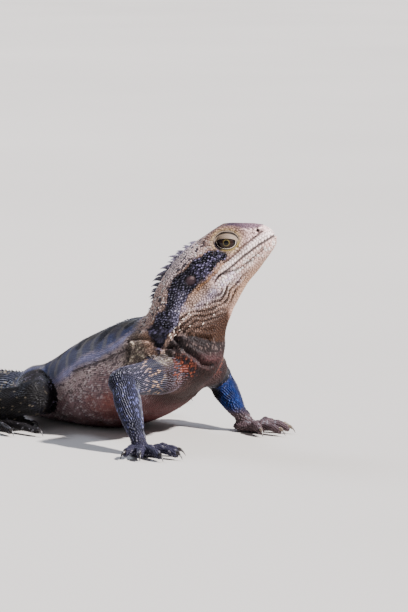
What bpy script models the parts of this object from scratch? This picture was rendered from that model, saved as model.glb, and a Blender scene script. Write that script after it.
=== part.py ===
"""An eastern water dragon at life size, resting on its belly with the fore body raised.

Run it with: blender --background --python part.py, or from Blender's text editor.
Metres, +Z up. The animal faces +X, its left side is +Y, and the origin is where its belly rests.
"""
import math

import bmesh
import bpy
import numpy as np
from mathutils import Matrix
from mathutils import Vector

# The space between two nodes that touch
GAP = 0.0003

# How far the soft underside sinks, so that belly, tail, hands and feet rest on flats
PRESSED_FLAT = 0.0009

# The main sizes of a grown male
TRUNK_WIDTH = 0.064
HEAD_WIDTH = 0.040
TAIL_LENGTH = 0.490
TAIL_ROOT_WIDTH = 0.0275
TAIL_ROOT_HEIGHT = 0.0225
EYE_RADIUS = 0.0060
LID_THICKNESS = 0.0008

# How the head is held
HEAD_BASE = Vector((0.0620, 0.0075, 0.0885))
HEAD_YAW = 40.0
HEAD_PITCH = 30.0

# Points of a ring of the body, of the head, of a limb and of a digit
BODY_SIDES = 32
HEAD_SIDES = 40
TAIL_SIDES = 16
LIMB_SIDES = 14
DIGIT_SIDES = 7
CLAW_SIDES = 5
SPINE_SIDES = 6

# The trunk and neck, from the tail's root to behind the ear. Each row is a cross-section:
# x, y, z of its middle, yaw and pitch in degrees, its half width as a share of the trunk's width,
# its rise above and drop below the middle, and how square its upper and lower halves are
TRUNK = [
    (-0.0660, 0.0000, 0.0102, 0, 4, 0.215, 0.0115, 0.0111, 2.0, 2.2),
    (-0.0470, 0.0000, 0.0140, 0, 12, 0.335, 0.0140, 0.0160, 2.1, 2.4),
    (-0.0240, 0.0000, 0.0190, 0, 22, 0.430, 0.0180, 0.0225, 2.0, 2.4),
    (0.0040, 0.0000, 0.0290, 0, 27, 0.500, 0.0222, 0.0325, 1.9, 2.5),
    (0.0320, 0.0000, 0.0395, 0, 32, 0.475, 0.0235, 0.0335, 1.8, 2.3),
    (0.0520, 0.0000, 0.0480, 2, 42, 0.430, 0.0212, 0.0300, 1.8, 2.1),
]
NECK = [
    (0.0600, 0.0005, 0.0600, 8, 52, 0.345, 0.0165, 0.0345, 1.8, 1.9),
    (0.0615, 0.0030, 0.0740, 20, 58, 0.315, 0.0150, 0.0300, 1.9, 1.8),
]
RINGS_IN_SPAN = 4

# The head, from the back of the skull to the snout, seen along its own axis: distance forward of
# the head's base, height of the section's middle, backward lean of the section in degrees, its
# half width as a share of the head's width, rise, drop, and the two squarenesses
HEAD = [
    (-0.0010, 0.0000, 22, 0.480, 0.0105, 0.0318, 2.0, 1.9),
    (0.0085, 0.0000, 13, 0.500, 0.0132, 0.0276, 2.2, 1.9),
    (0.0175, 0.0000, 6, 0.470, 0.0138, 0.0236, 2.5, 2.0),
    (0.0260, 0.0000, 1, 0.405, 0.0140, 0.0200, 2.8, 2.1),
    (0.0330, 0.0000, 0, 0.325, 0.0126, 0.0176, 2.7, 2.2),
    (0.0395, -0.0005, 0, 0.265, 0.0098, 0.0142, 2.5, 2.2),
    (0.0450, -0.0014, 0, 0.215, 0.0074, 0.0108, 2.4, 2.2),
    (0.0485, -0.0024, 0, 0.165, 0.0052, 0.0080, 2.2, 2.2),
    (0.0506, -0.0032, 0, 0.100, 0.0029, 0.0050, 2.1, 2.1),
    (0.0514, -0.0035, 0, 0.038, 0.0010, 0.0018, 2.0, 2.0),
]
HEAD_RINGS_IN_SPAN = 12

# Swellings and hollows of the head on both sides, in the head's own axes: forward, sideways and
# up from its base, the reach in those three directions, and how far the surface moves
HEAD_FORMS = [
    (0.0290, 0.0105, 0.0140, 0.0085, 0.0040, 0.0035, 0.0016),
    (0.0400, 0.0090, 0.0085, 0.0070, 0.0030, 0.0030, 0.0009),
    (0.0280, 0.0160, 0.0030, 0.0070, 0.0060, 0.0060, -0.0018),
    (0.0385, 0.0120, 0.0035, 0.0060, 0.0050, 0.0040, -0.0010),
    (0.0060, 0.0190, -0.0130, 0.0130, 0.0100, 0.0100, 0.0022),
    (0.0360, 0.0120, -0.0045, 0.0160, 0.0070, 0.0020, 0.0006),
    (0.0150, 0.0190, 0.0040, 0.0080, 0.0060, 0.0050, -0.0008),
]

# The slit of the mouth in the head's axes, forward and up, from before the snout to its corner
# and then down behind the jaw
MOUTH_SLIT = [
    (0.0620, -0.0052),
    (0.0520, -0.0048),
    (0.0410, -0.0050),
    (0.0320, -0.0062),
    (0.0230, -0.0080),
    (0.0165, -0.0086),
    (0.0125, -0.0105),
    (0.0110, -0.0160),
    (0.0110, -0.0450),
]

# Eyes, nostrils and eardrums, in the head's axes
EYE_PLACE = (0.0277, 0.0090, 0.0046)
EYE_OPENING = (0.0049, 0.0050, 0.0029)
EYE_OPENING_PLACE = (0.0276, 0.0165, 0.0041)
EYE_SLANT = 29.0
NOSTRIL_PLACE = (0.0452, 0.0022)
NOSTRIL_RADIUS = 0.0011
EARDRUM_PLACE = (0.0022, -0.0034)
EARDRUM_RADIUS = 0.0033
EARDRUM_DEPTH = 0.0008

# The spiny scales from the corner of the jaw down the side of the neck, in the head's axes:
# forward and up of the first and the last, and how long the longest is
JOWL_SPINES = 9
JOWL_START = (0.0050, -0.0140)
JOWL_END = (-0.0215, -0.0225)
JOWL_SPINE_LENGTH = 0.0044
SEAM_CLEARANCE = 0.0024

# The crest: its spines on the nape, back and tail, with the longest of each
SKULL_SPINES = 4
SKULL_SPINE_LENGTH = 0.0052
NAPE_SPINES = 10
NAPE_SPINE_LENGTH = 0.0072
BACK_SPINES = 26
BACK_SPINE_LENGTH = 0.0026
TAIL_SPINES = 30
TAIL_SPINE_LENGTH = 0.0022
SPINE_ROOT = 0.0010

# Limb joints on the right side, then on the left
RIGHT_ARM = ((0.0690, -0.0170, 0.0360), (0.0670, -0.0445, 0.0345), (0.0880, -0.0540, 0.0125))
LEFT_ARM = ((0.0660, 0.0170, 0.0370), (0.0455, 0.0430, 0.0270), (0.0675, 0.0372, 0.0120))
RIGHT_LEG = ((-0.0420, -0.0120, 0.0165), (-0.0060, -0.0465, 0.0175), (-0.0420, -0.0600, 0.0095))
LEFT_LEG = ((-0.0420, 0.0120, 0.0165), (-0.0170, 0.0460, 0.0170), (-0.0590, 0.0405, 0.0095))

# Radii of the limbs: at the root, the swelling of the muscle and before the next joint
UPPER_ARM_RADII = (0.0110, 0.0094, 0.0082)
FOREARM_RADII = (0.0068, 0.0076, 0.0052)
THIGH_RADII = (0.0138, 0.0128, 0.0098)
SHANK_RADII = (0.0084, 0.0092, 0.0054)

# Hands and feet: length of each digit without its claw from the inner to the outer one, the
# direction of each about the hand's own, the palm's size and the digits' radius
HAND_DIGITS = (0.0075, 0.0120, 0.0165, 0.0170, 0.0110)
HAND_SPREAD = (62.0, 27.0, 2.0, -21.0, -48.0)
HAND_PALM = (0.0105, 0.0080, 0.0036)
FOOT_DIGITS = (0.0095, 0.0165, 0.0270, 0.0370, 0.0190)
FOOT_SPREAD = (34.0, 20.0, 7.0, -8.0, -42.0)
FOOT_PALM = (0.0125, 0.0075, 0.0038)
DIGIT_RADIUS = 0.0021
CLAW_LENGTH = 0.0060
CLAW_RADIUS = 0.0012
KNUCKLE_HEIGHT = 0.0052

# Direction in which each hand and foot points, in degrees from +X to +Y
RIGHT_HAND_HEADING = -15.0
LEFT_HAND_HEADING = 24.0
RIGHT_FOOT_HEADING = -6.0
LEFT_FOOT_HEADING = 62.0

FINISHES = {
    "hide": ((0.200, 0.170, 0.135), 0.75),
    "head_hide": ((0.430, 0.370, 0.280), 0.70),
    "limb_hide": ((0.085, 0.080, 0.095), 0.70),
    "eye": ((0.030, 0.022, 0.016), 0.15),
}


def clear_scene():
    for obj in list(bpy.data.objects):
        bpy.data.objects.remove(obj, do_unlink=True)


def finish(name):
    """A material of one of the finishes."""
    found = bpy.data.materials.get(name)
    if found:
        return found
    made = bpy.data.materials.new(name)
    made.use_nodes = True
    colour, roughness = FINISHES[name]
    shader = made.node_tree.nodes["Principled BSDF"]
    shader.inputs["Base Color"].default_value = (*colour, 1.0)
    shader.inputs["Roughness"].default_value = roughness
    return made


def add_object(name, mesh, material, collection):
    obj = bpy.data.objects.new(name, mesh)
    mesh.materials.clear()
    mesh.materials.append(finish(material))
    collection.objects.link(obj)
    return obj


def smooth_rows(rows, steps):
    """The rows of a table with smooth rows added, so that each span has this many steps."""
    rows = np.asarray(rows, float)
    before = 2 * rows[0] - rows[1]
    after = 2 * rows[-1] - rows[-2]
    padded = np.vstack([before, rows, after])
    found = []
    for i in range(1, len(rows)):
        a, b, c, d = padded[i - 1 : i + 3]
        for t in np.arange(steps) / steps:
            bend = (2 * a - 5 * b + 4 * c - d) * t**2 + (3 * b - a - 3 * c + d) * t**3
            found.append(b + 0.5 * (c - a) * t + 0.5 * bend)
    found.append(rows[-1])
    return np.array(found)


def axes_of(yaw, pitch):
    """Forward, left and up of something that is turned by yaw and lifted by pitch, in degrees."""
    yaw = math.radians(yaw)
    pitch = math.radians(pitch)
    forward = (math.cos(pitch) * math.cos(yaw), math.cos(pitch) * math.sin(yaw), math.sin(pitch))
    left = (-math.sin(yaw), math.cos(yaw), 0.0)
    up = (-math.sin(pitch) * math.cos(yaw), -math.sin(pitch) * math.sin(yaw), math.cos(pitch))
    return np.array(forward), np.array(left), np.array(up)


def power_curve(value, power):
    return np.sign(value) * np.abs(value) ** (2.0 / power)


def ring(middle, left, up, half_width, rise, drop, upper, lower, sides):
    """Points of a cross-section, starting at its left and passing over its top."""
    angle = np.arange(sides) * 2 * math.pi / sides
    above = np.sin(angle) >= 0
    power = np.where(above, upper, lower)
    height = np.where(above, rise, drop)
    across = half_width * power_curve(np.cos(angle), power)
    upward = height * power_curve(np.sin(angle), power)
    return middle + np.outer(across, left) + np.outer(upward, up)


def body_rings(rows, sides):
    found = []
    for x, y, z, yaw, pitch, half_width, rise, drop, upper, lower in rows:
        _, left, up = axes_of(yaw, pitch)
        middle = np.array((x, y, z))
        found.append(ring(middle, left, up, half_width, rise, drop, upper, lower, sides))
    return np.array(found)


def loft(name, rings, material, collection):
    """A closed object through rings of points. Each ring runs anticlockwise seen from ahead."""
    count, sides = rings.shape[:2]
    made = bmesh.new()
    rows = [[made.verts.new(point) for point in one] for one in rings]
    for i in range(count - 1):
        for k in range(sides):
            after = (k + 1) % sides
            made.faces.new((rows[i][k], rows[i][after], rows[i + 1][after], rows[i + 1][k]))
    made.faces.new(list(reversed(rows[0])))
    made.faces.new(rows[-1])
    bmesh.ops.recalc_face_normals(made, faces=made.faces)
    mesh = bpy.data.meshes.new(name)
    made.to_mesh(mesh)
    made.free()
    mesh.shade_smooth()
    return add_object(name, mesh, material, collection)


def rest_on_floor(rings):
    """Lays what reaches below the floor flat on it."""
    rings[..., 2] = np.maximum(rings[..., 2], 0.0)
    return rings


def evaluated_mesh(obj):
    graph = bpy.context.evaluated_depsgraph_get()
    return bpy.data.meshes.new_from_object(obj.evaluated_get(graph))


def keep_largest(mesh):
    """Removes all but the largest closed surface."""
    made = bmesh.new()
    made.from_mesh(mesh)
    left = set(made.verts)
    pieces = []
    while left:
        found = {left.pop()}
        edge = set(found)
        while edge:
            near = {e.other_vert(v) for v in edge for e in v.link_edges}
            edge = near - found
            found |= edge
        left -= found
        pieces.append(found)
    pieces.sort(key=len)
    loose = [v for piece in pieces[:-1] for v in piece]
    bmesh.ops.delete(made, geom=loose, context="VERTS")
    made.to_mesh(mesh)
    made.free()


def combine(obj, others, operation, solver="EXACT"):
    """Joins closed objects to obj, or cuts them from it, and removes them."""
    group = bpy.data.collections.new("pieces")
    bpy.context.scene.collection.children.link(group)
    for other in others:
        for owner in list(other.users_collection):
            owner.objects.unlink(other)
        group.objects.link(other)
    modifier = obj.modifiers.new("combine", "BOOLEAN")
    modifier.operation = operation
    modifier.operand_type = "COLLECTION"
    modifier.collection = group
    modifier.solver = solver
    bpy.context.view_layer.update()
    mesh = evaluated_mesh(obj)
    obj.modifiers.remove(modifier)
    obj.data = mesh
    for other in others:
        bpy.data.objects.remove(other, do_unlink=True)
    bpy.data.collections.remove(group)
    return obj


def fuse(obj, others, solver="MANIFOLD"):
    combine(obj, others, "UNION", solver)
    keep_largest(obj.data)
    return obj


def cut(obj, others, solver="MANIFOLD"):
    combine(obj, others, "DIFFERENCE", solver)
    return obj


def swollen_copy(obj, collection):
    """A copy of obj that is larger by the gap all over, to cut its neighbour with."""
    mesh = obj.data.copy()
    made = bmesh.new()
    made.from_mesh(mesh)
    bmesh.ops.remove_doubles(made, verts=made.verts, dist=1e-6)
    made.normal_update()
    moves = [v.normal * GAP for v in made.verts]
    for vert, move in zip(made.verts, moves):
        vert.co += move
    made.to_mesh(mesh)
    made.free()
    return add_object(obj.name + "_space", mesh, "hide", collection)


def ellipsoid(name, middle, radii, material, collection, turn=None, sides=16, rings=10):
    made = bmesh.new()
    bmesh.ops.create_uvsphere(made, u_segments=sides, v_segments=rings, radius=1.0)
    bmesh.ops.scale(made, vec=radii, verts=made.verts)
    if turn is not None:
        bmesh.ops.transform(made, matrix=turn.to_4x4(), verts=made.verts)
    bmesh.ops.translate(made, vec=middle, verts=made.verts)
    mesh = bpy.data.meshes.new(name)
    made.to_mesh(mesh)
    made.free()
    mesh.shade_smooth()
    return add_object(name, mesh, material, collection)


def box(name, low, high, collection):
    made = bmesh.new()
    bmesh.ops.create_cube(made, size=1.0)
    size = Vector(high) - Vector(low)
    bmesh.ops.scale(made, vec=size, verts=made.verts)
    bmesh.ops.translate(made, vec=(Vector(low) + Vector(high)) / 2, verts=made.verts)
    mesh = bpy.data.meshes.new(name)
    made.to_mesh(mesh)
    made.free()
    return add_object(name, mesh, "hide", collection)


def spine(name, root, outward, lean, length, material, collection):
    """A flattened cone that leans over towards lean, with its root sunk."""
    outward = outward.normalized()
    lean = (lean - outward * lean.dot(outward)).normalized()
    across = outward.cross(lean)
    half_base = 0.26 * length + 0.0005
    half_thickness = 0.13 * length + 0.0004
    way = outward * (0.86 * length + SPINE_ROOT) + lean * 0.55 * length
    made = bmesh.new()
    bmesh.ops.create_cone(
        made, cap_ends=True, segments=SPINE_SIDES, radius1=1.0, radius2=0.0, depth=1.0
    )
    bmesh.ops.translate(made, vec=(0, 0, 0.5), verts=made.verts)
    columns = (lean * half_base, across * half_thickness, way)
    shape = Matrix(columns).transposed().to_4x4()
    bmesh.ops.transform(made, matrix=shape, verts=made.verts)
    bmesh.ops.translate(made, vec=root - outward * SPINE_ROOT, verts=made.verts)
    bmesh.ops.recalc_face_normals(made, faces=made.faces)
    mesh = bpy.data.meshes.new(name)
    made.to_mesh(mesh)
    made.free()
    return add_object(name, mesh, material, collection)


def head_point(forward, left, up):
    """A point given in the head's own axes."""
    ahead, side, above = axes_of(HEAD_YAW, HEAD_PITCH)
    return np.array(HEAD_BASE) + forward * ahead + left * side + up * above


def head_turn():
    ahead, side, above = axes_of(HEAD_YAW, HEAD_PITCH)
    return Matrix((ahead, side, above)).transposed()


def body_table():
    """All cross-sections from the tail's root to the snout, and where the parts begin."""
    rows = []
    for x, y, z, yaw, pitch, share, rise, drop, upper, lower in TRUNK + NECK:
        rows.append((x, y, z, yaw, pitch, share * TRUNK_WIDTH, rise, drop, upper, lower))
    for forward, height, lean, share, rise, drop, upper, lower in HEAD:
        x, y, z = head_point(forward, 0.0, height)
        width = share * HEAD_WIDTH
        rows.append((x, y, z, HEAD_YAW, HEAD_PITCH + lean, width, rise, drop, upper, lower))
    return rows


def shape_head(rings):
    """Moves the head's points by its swellings and hollows, the same on both sides."""
    ahead, side, above = axes_of(HEAD_YAW, HEAD_PITCH)
    frame = np.array([ahead, side, above])
    local = (rings - np.array(HEAD_BASE)) @ frame.T
    middle = local.mean(axis=1, keepdims=True)
    outward = local - middle
    outward[..., 0] = 0.0
    outward /= np.maximum(np.linalg.norm(outward, axis=-1, keepdims=True), 1e-6)
    moved = np.zeros(local.shape[:2])
    for forward, left, up, reach_f, reach_l, reach_u, amount in HEAD_FORMS:
        for mirror in (1, -1):
            away = (local - (forward, mirror * left, up)) / (reach_f, reach_l, reach_u)
            moved += amount * np.exp(-(away**2).sum(axis=-1))
    local += outward * moved[..., None]
    return local @ frame + np.array(HEAD_BASE)


def crest(rings, start, end, count, longest, material, collection, name, shape):
    """Spines at even steps along the top of the rings, from start to end of their length."""
    top = rings[:, rings.shape[1] // 4]
    steps = np.linalg.norm(np.diff(top, axis=0), axis=1)
    along = np.concatenate([[0.0], np.cumsum(steps)])
    under = rings.mean(axis=1)
    made = []
    for i in range(count):
        share = (i + 0.5) / count
        place = along[-1] * (start + (end - start) * share)
        root = Vector([np.interp(place, along, top[:, k]) for k in range(3)])
        ahead = Vector([np.interp(place + 0.001, along, top[:, k]) for k in range(3)])
        inside = Vector([np.interp(place, along, under[:, k]) for k in range(3)])
        forward = (ahead - root).normalized()
        outward = root - inside
        outward -= forward * outward.dot(forward)
        length = longest * shape(share)
        made.append(spine(f"{name}_{i}", root, outward, -forward, length, material, collection))
    return made


def make_body(collection):
    """Torso and neck. Returns them with the rings that the neck and head share."""
    rows = body_table()
    trunk_end = len(TRUNK) - 1
    neck_end = len(TRUNK) + len(NECK) - 1
    all_rows = smooth_rows(rows, RINGS_IN_SPAN)
    cut_low = trunk_end * RINGS_IN_SPAN + RINGS_IN_SPAN // 2
    cut_high = neck_end * RINGS_IN_SPAN + RINGS_IN_SPAN // 2
    rings = body_rings(all_rows, BODY_SIDES)

    trunk_rings = rest_on_floor(rings[: cut_low + 1].copy())
    torso = loft("torso", trunk_rings, "hide", collection)
    neck_rings = with_gap(rings[cut_low : cut_high + 1].copy(), all_rows[cut_low])
    neck = loft("neck", neck_rings, "head_hide", collection)
    return torso, neck, trunk_rings, neck_rings, cut_high / RINGS_IN_SPAN


def with_gap(rings, first_row):
    """Moves the first ring forward by the gap, so that it doesn't touch what lies behind."""
    forward, _, _ = axes_of(first_row[3], first_row[4])
    rings[0] += forward * GAP
    return rings


def make_head(collection, start):
    """Skull and lower jaw, parted by the slit of the mouth, with sockets, nostrils and ears."""
    table = smooth_rows(body_table(), HEAD_RINGS_IN_SPAN)
    first = int(round(start * HEAD_RINGS_IN_SPAN))
    rows = np.vstack([table[first], table[first + 6 :: 4]])
    rings = body_rings(rows, HEAD_SIDES)
    rings = with_gap(shape_head(rings), rows[0])
    head = loft("head", rings, "head_hide", collection)
    return head, rings


def head_details(head, collection):
    """Lids, sockets, nostrils and eardrums on both sides. Returns the eyes."""
    turn = head_turn()
    slant = turn @ Matrix.Rotation(math.radians(EYE_SLANT), 3, "Y")
    domes = []
    for mirror in (1, -1):
        middle = head_point(EYE_PLACE[0], mirror * EYE_PLACE[1], EYE_PLACE[2])
        outer = EYE_RADIUS + GAP + LID_THICKNESS
        domes.append(ellipsoid("lid", middle, (outer,) * 3, "head_hide", collection, turn, 18, 12))
    fuse(head, domes)
    hollows = []
    eyes = []
    for mirror, side in ((1, "left"), (-1, "right")):
        middle = head_point(EYE_PLACE[0], mirror * EYE_PLACE[1], EYE_PLACE[2])
        room = (EYE_RADIUS + GAP,) * 3
        hollows.append(ellipsoid("socket", middle, room, "hide", collection, turn, 16, 10))
        opening = EYE_OPENING_PLACE
        gate = head_point(opening[0], mirror * opening[1], opening[2])
        hollows.append(ellipsoid("gate", gate, EYE_OPENING, "hide", collection, slant, 18, 10))
        globe = (EYE_RADIUS,) * 3
        eyes.append(ellipsoid(f"{side}_eye", middle, globe, "eye", collection, turn, 16, 10))
        hollows.append(nostril(head, mirror, collection))
        hollows.append(eardrum(head, mirror, collection))
    cut(head, hollows)
    return eyes


def side_surface(obj, forward, up, mirror):
    """The point of obj's side at this place of the head, and the way out of the surface there."""
    start = Vector(head_point(forward, 0.0, up))
    way = Vector(head_point(forward, mirror, up)) - start
    hit, point, normal, _ = obj.ray_cast(start, way.normalized(), distance=0.05)
    return hit, point, normal


def nostril(head, mirror, collection):
    forward, up = NOSTRIL_PLACE
    _, point, _ = side_surface(head, forward, up, mirror)
    radii = (NOSTRIL_RADIUS, NOSTRIL_RADIUS, NOSTRIL_RADIUS)
    return ellipsoid("nostril", point, radii, "hide", collection, None, 10, 6)


def eardrum(head, mirror, collection):
    forward, up = EARDRUM_PLACE
    _, point, normal = side_surface(head, forward, up, mirror)
    turn = normal.to_track_quat("Z", "Y").to_matrix()
    radii = (EARDRUM_RADIUS, EARDRUM_RADIUS, EARDRUM_DEPTH)
    return ellipsoid("eardrum", point, radii, "hide", collection, turn, 16, 8)


def part_jaw(head, collection):
    """Parts the head along the mouth's slit and returns the lower jaw."""
    made = bmesh.new()
    half = 0.04
    rows = []
    for forward, up in MOUTH_SLIT:
        ends = (head_point(forward, half, up), head_point(forward, -half, up))
        rows.append([made.verts.new(point) for point in ends])
    for before, after in zip(rows, rows[1:]):
        made.faces.new((before[0], before[1], after[1], after[0]))
    mesh = bpy.data.meshes.new("slit")
    made.to_mesh(mesh)
    made.free()
    slit = add_object("slit", mesh, "hide", collection)
    thick = slit.modifiers.new("thickness", "SOLIDIFY")
    thick.thickness = GAP
    thick.offset = 0.0
    bpy.context.view_layer.update()
    slit.data = evaluated_mesh(slit)
    slit.modifiers.clear()
    cut(head, [slit], "EXACT")
    jaw = add_object("lower_jaw", head.data.copy(), "head_hide", collection)
    keep_side(head, 1)
    keep_side(jaw, -1)
    return jaw


def keep_side(obj, side):
    """Of an object in two pieces, keeps the one whose middle is higher (1) or lower (-1)."""
    made = bmesh.new()
    made.from_mesh(obj.data)
    left = set(made.verts)
    pieces = []
    while left:
        found = {left.pop()}
        edge = set(found)
        while edge:
            near = {e.other_vert(v) for v in edge for e in v.link_edges}
            edge = near - found
            found |= edge
        left -= found
        pieces.append(found)
    pieces = sorted(pieces, key=len)[-2:]
    heights = [sum(v.co.z for v in piece) / len(piece) for piece in pieces]
    keep = pieces[0] if (heights[0] > heights[1]) == (side > 0) else pieces[1]
    loose = [v for v in made.verts if v not in keep]
    bmesh.ops.delete(made, geom=loose, context="VERTS")
    made.to_mesh(obj.data)
    made.free()


def jowl_spines(head, neck, seam, collection):
    """The row of spiny scales below and behind each eardrum, on the node that carries each.

    Those that would cross the seam between head and neck, given by its ring, are left out.
    """
    rows = {head.name: [], neck.name: []}
    seam_middle = Vector(seam.mean(axis=0))
    seam_way = (Vector(seam[0]) - seam_middle).cross(Vector(seam[len(seam) // 4]) - seam_middle)
    seam_way.normalize()
    ahead, _, above = axes_of(HEAD_YAW, HEAD_PITCH)
    lean = Vector(-ahead - 0.4 * above)
    for i in range(JOWL_SPINES):
        share = i / (JOWL_SPINES - 1)
        forward = JOWL_START[0] + (JOWL_END[0] - JOWL_START[0]) * share
        up = JOWL_START[1] + (JOWL_END[1] - JOWL_START[1]) * share
        length = JOWL_SPINE_LENGTH * (0.65 + 0.35 * math.sin(math.pi * share))
        for mirror in (1, -1):
            for node in (head, neck):
                hit, point, normal = side_surface(node, forward, up, mirror)
                if hit and abs((point - seam_middle).dot(seam_way)) > SEAM_CLEARANCE:
                    way = normal + lean * 0.4
                    name = f"jowl_{i}_{mirror}"
                    made = spine(name, point, way, lean, length, "head_hide", collection)
                    rows[node.name].append(made)
                    break
    return rows


def limb_loft(name, start, end, radii, material, collection):
    """A limb between two joints: rounded at both ends and swollen at the muscle."""
    start = np.array(start)
    end = np.array(end)
    length = np.linalg.norm(end - start)
    forward = Vector((end - start) / length)
    left = Vector((0, 0, 1)).cross(forward).normalized()
    up = forward.cross(left)
    root, middle, tip = radii
    profile = [
        (-0.97 * root, 0.22 * root),
        (-0.75 * root, 0.66 * root),
        (-0.35 * root, 0.93 * root),
        (0.10 * length, root),
        (0.40 * length, middle),
        (0.75 * length, 0.45 * middle + 0.55 * tip),
        (length, tip),
        (length + 0.45 * tip, 0.88 * tip),
        (length + 0.80 * tip, 0.60 * tip),
        (length + 0.97 * tip, 0.22 * tip),
    ]
    rings = []
    for along, radius in profile:
        at = start + np.array(forward) * along
        across, upward = np.array(left), np.array(up)
        rings.append(ring(at, across, upward, radius, radius, radius, 2.0, 2.0, LIMB_SIDES))
    return loft(name, np.array(rings), material, collection)


def curved_tube(name, points, radii, sides, material, collection):
    """A tapering tube through points, rounded off at its end by its last radius."""
    points = [Vector(p) for p in points]
    rings = []
    for i, point in enumerate(points):
        before = points[max(i - 1, 0)]
        after = points[min(i + 1, len(points) - 1)]
        forward = (after - before).normalized()
        left = Vector((0, 0, 1)).cross(forward).normalized()
        up = forward.cross(left)
        r = radii[i]
        rings.append(ring(np.array(point), np.array(left), np.array(up), r, r, r, 2.0, 2.0, sides))
    return loft(name, np.array(rings), material, collection)


def digit(name, root, heading, length, collection):
    """A digit that arches from the palm down to its tip, and its claw."""
    way = Vector((math.cos(math.radians(heading)), math.sin(math.radians(heading)), 0.0))
    r = DIGIT_RADIUS
    arch = [
        (-0.0030, root.z, 1.05),
        (0.20 * length, KNUCKLE_HEIGHT, 1.15),
        (0.44 * length, 0.80 * KNUCKLE_HEIGHT, 0.95),
        (0.66 * length, 0.80 * KNUCKLE_HEIGHT, 1.02),
        (1.00 * length, 0.52 * KNUCKLE_HEIGHT, 0.86),
        (1.00 * length + 0.0012, 0.50 * KNUCKLE_HEIGHT, 0.50),
    ]
    flat_root = Vector((root.x, root.y, 0.0))
    points = [flat_root + way * along + Vector((0, 0, height)) for along, height, _ in arch]
    radii = [r * share for _, _, share in arch]
    toe = curved_tube(name, points, radii, DIGIT_SIDES, "limb_hide", collection)
    hook = []
    claw_radii = []
    for step in range(4):
        share = step / 3
        along = length - 0.0015 + CLAW_LENGTH * (share - 0.18 * share**2)
        height = 0.0036 + 0.0010 * math.sin(math.pi * share) - 0.0028 * share**1.5
        hook.append(flat_root + way * along + Vector((0, 0, height)))
        claw_radii.append(CLAW_RADIUS * (1.0 - 0.80 * share**1.3))
    claw = curved_tube(name + "_claw", hook, claw_radii, CLAW_SIDES, "limb_hide", collection)
    return [toe, claw]


def make_foot(name, joint, heading, digits, spread, palm, mirror, collection):
    """A hand or foot: the wrist, the palm and five clawed digits, joined and rested flat."""
    turn = Matrix.Rotation(math.radians(heading), 3, "Z")
    way = turn @ Vector((1, 0, 0))
    side = turn @ Vector((0, 1, 0))
    wrist = Vector(joint)
    middle = Vector((wrist.x, wrist.y, palm[2] - PRESSED_FLAT)) + way * palm[0] * 0.80
    base = ellipsoid(name, middle, palm, "limb_hide", collection, turn, 14, 8)
    carpus = curved_tube(
        name + "_wrist",
        [wrist, wrist * 0.6 + middle * 0.4, middle],
        [0.0044, 0.0047, 0.0036],
        10,
        "limb_hide",
        collection,
    )
    pieces = [carpus]
    for i, (length, angle) in enumerate(zip(digits, spread)):
        toward = Matrix.Rotation(math.radians(mirror * angle), 3, "Z") @ way
        across = side * mirror * palm[1] * (0.62 - 0.31 * i)
        root = middle + across + way * palm[0] * 0.30 + toward * palm[0] * 0.30
        aim = heading + mirror * angle
        pieces += digit(f"{name}_digit_{i}", root, aim, length, collection)
    foot = fuse(base, pieces)
    floor = box("floor", (-0.7, -0.3, -0.05), (0.3, 0.3, 0.0), collection)
    return cut(foot, [floor])


def make_tail(collection, trunk_rings):
    """The tail in four lengths, laid along the floor in a shallow bend, with its low crest."""
    count = 54
    root = TRUNK[0]
    share = np.linspace(0.0, 1.0, count)
    sway = -0.026 * np.sin(1.25 * math.pi * share) * (1 - np.exp(-share / 0.12))
    x = root[0] - TAIL_LENGTH * 0.985 * share
    flank = 0.68 + 0.32 * np.exp(-share / 0.08)
    half_width = TAIL_ROOT_WIDTH / 2 * flank * (1 - share) ** 1.10 + 0.0009 * share
    half_height = TAIL_ROOT_HEIGHT / 2 * (1 - share) ** 0.88 + 0.0011 * share
    height = half_height - PRESSED_FLAT * np.minimum(1.0, 0.35 + half_height / 0.012)
    rings = []
    for i in range(count):
        before = max(i - 1, 0)
        after = min(i + 1, count - 1)
        yaw = math.degrees(math.atan2(sway[before] - sway[after], x[before] - x[after]))
        _, left, up = axes_of(yaw, 0)
        middle = np.array((x[i], sway[i], height[i]))
        w, h = half_width[i], half_height[i]
        rings.append(ring(middle, left, up, w, h, h, 1.8, 2.1, TAIL_SIDES))
    rings = np.array(rings)[::-1]
    thick = trunk_rings[0][:: BODY_SIDES // TAIL_SIDES]
    rings[-1] = thick + np.array((-GAP, 0.0, 0.0))
    rings = rest_on_floor(rings)
    splits = (0, 12, 26, 40, count - 1)
    parts = []
    for k in range(4):
        some = rings[splits[k] : splits[k + 1] + 1].copy()
        if k < 3:
            some[-1] += (some[-2] - some[-1]) * (GAP / np.linalg.norm((some[-2] - some[-1]).mean(axis=0)))
        name = f"tail_{4 - k}"
        parts.append((loft(name, some, "hide", collection), some))
    return parts


def tail_crests(parts, collection):
    for node, rings in parts[1:]:
        spines = crest(
            rings, 0.03, 0.97, TAIL_SPINES // 3, TAIL_SPINE_LENGTH, "hide", collection, "keel", level
        )
        fuse(node, spines)


def level(share):
    return 1.0


def nape_shape(share):
    """Length of the nape's spines from the shoulders to the skull: longest behind the head."""
    return 0.52 + 0.48 * math.sin(math.pi * (0.05 + 0.72 * share))


def skull_shape(share):
    """Length of the spines behind the crown, which grow shorter towards it."""
    return 1.0 - 0.55 * share


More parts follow.
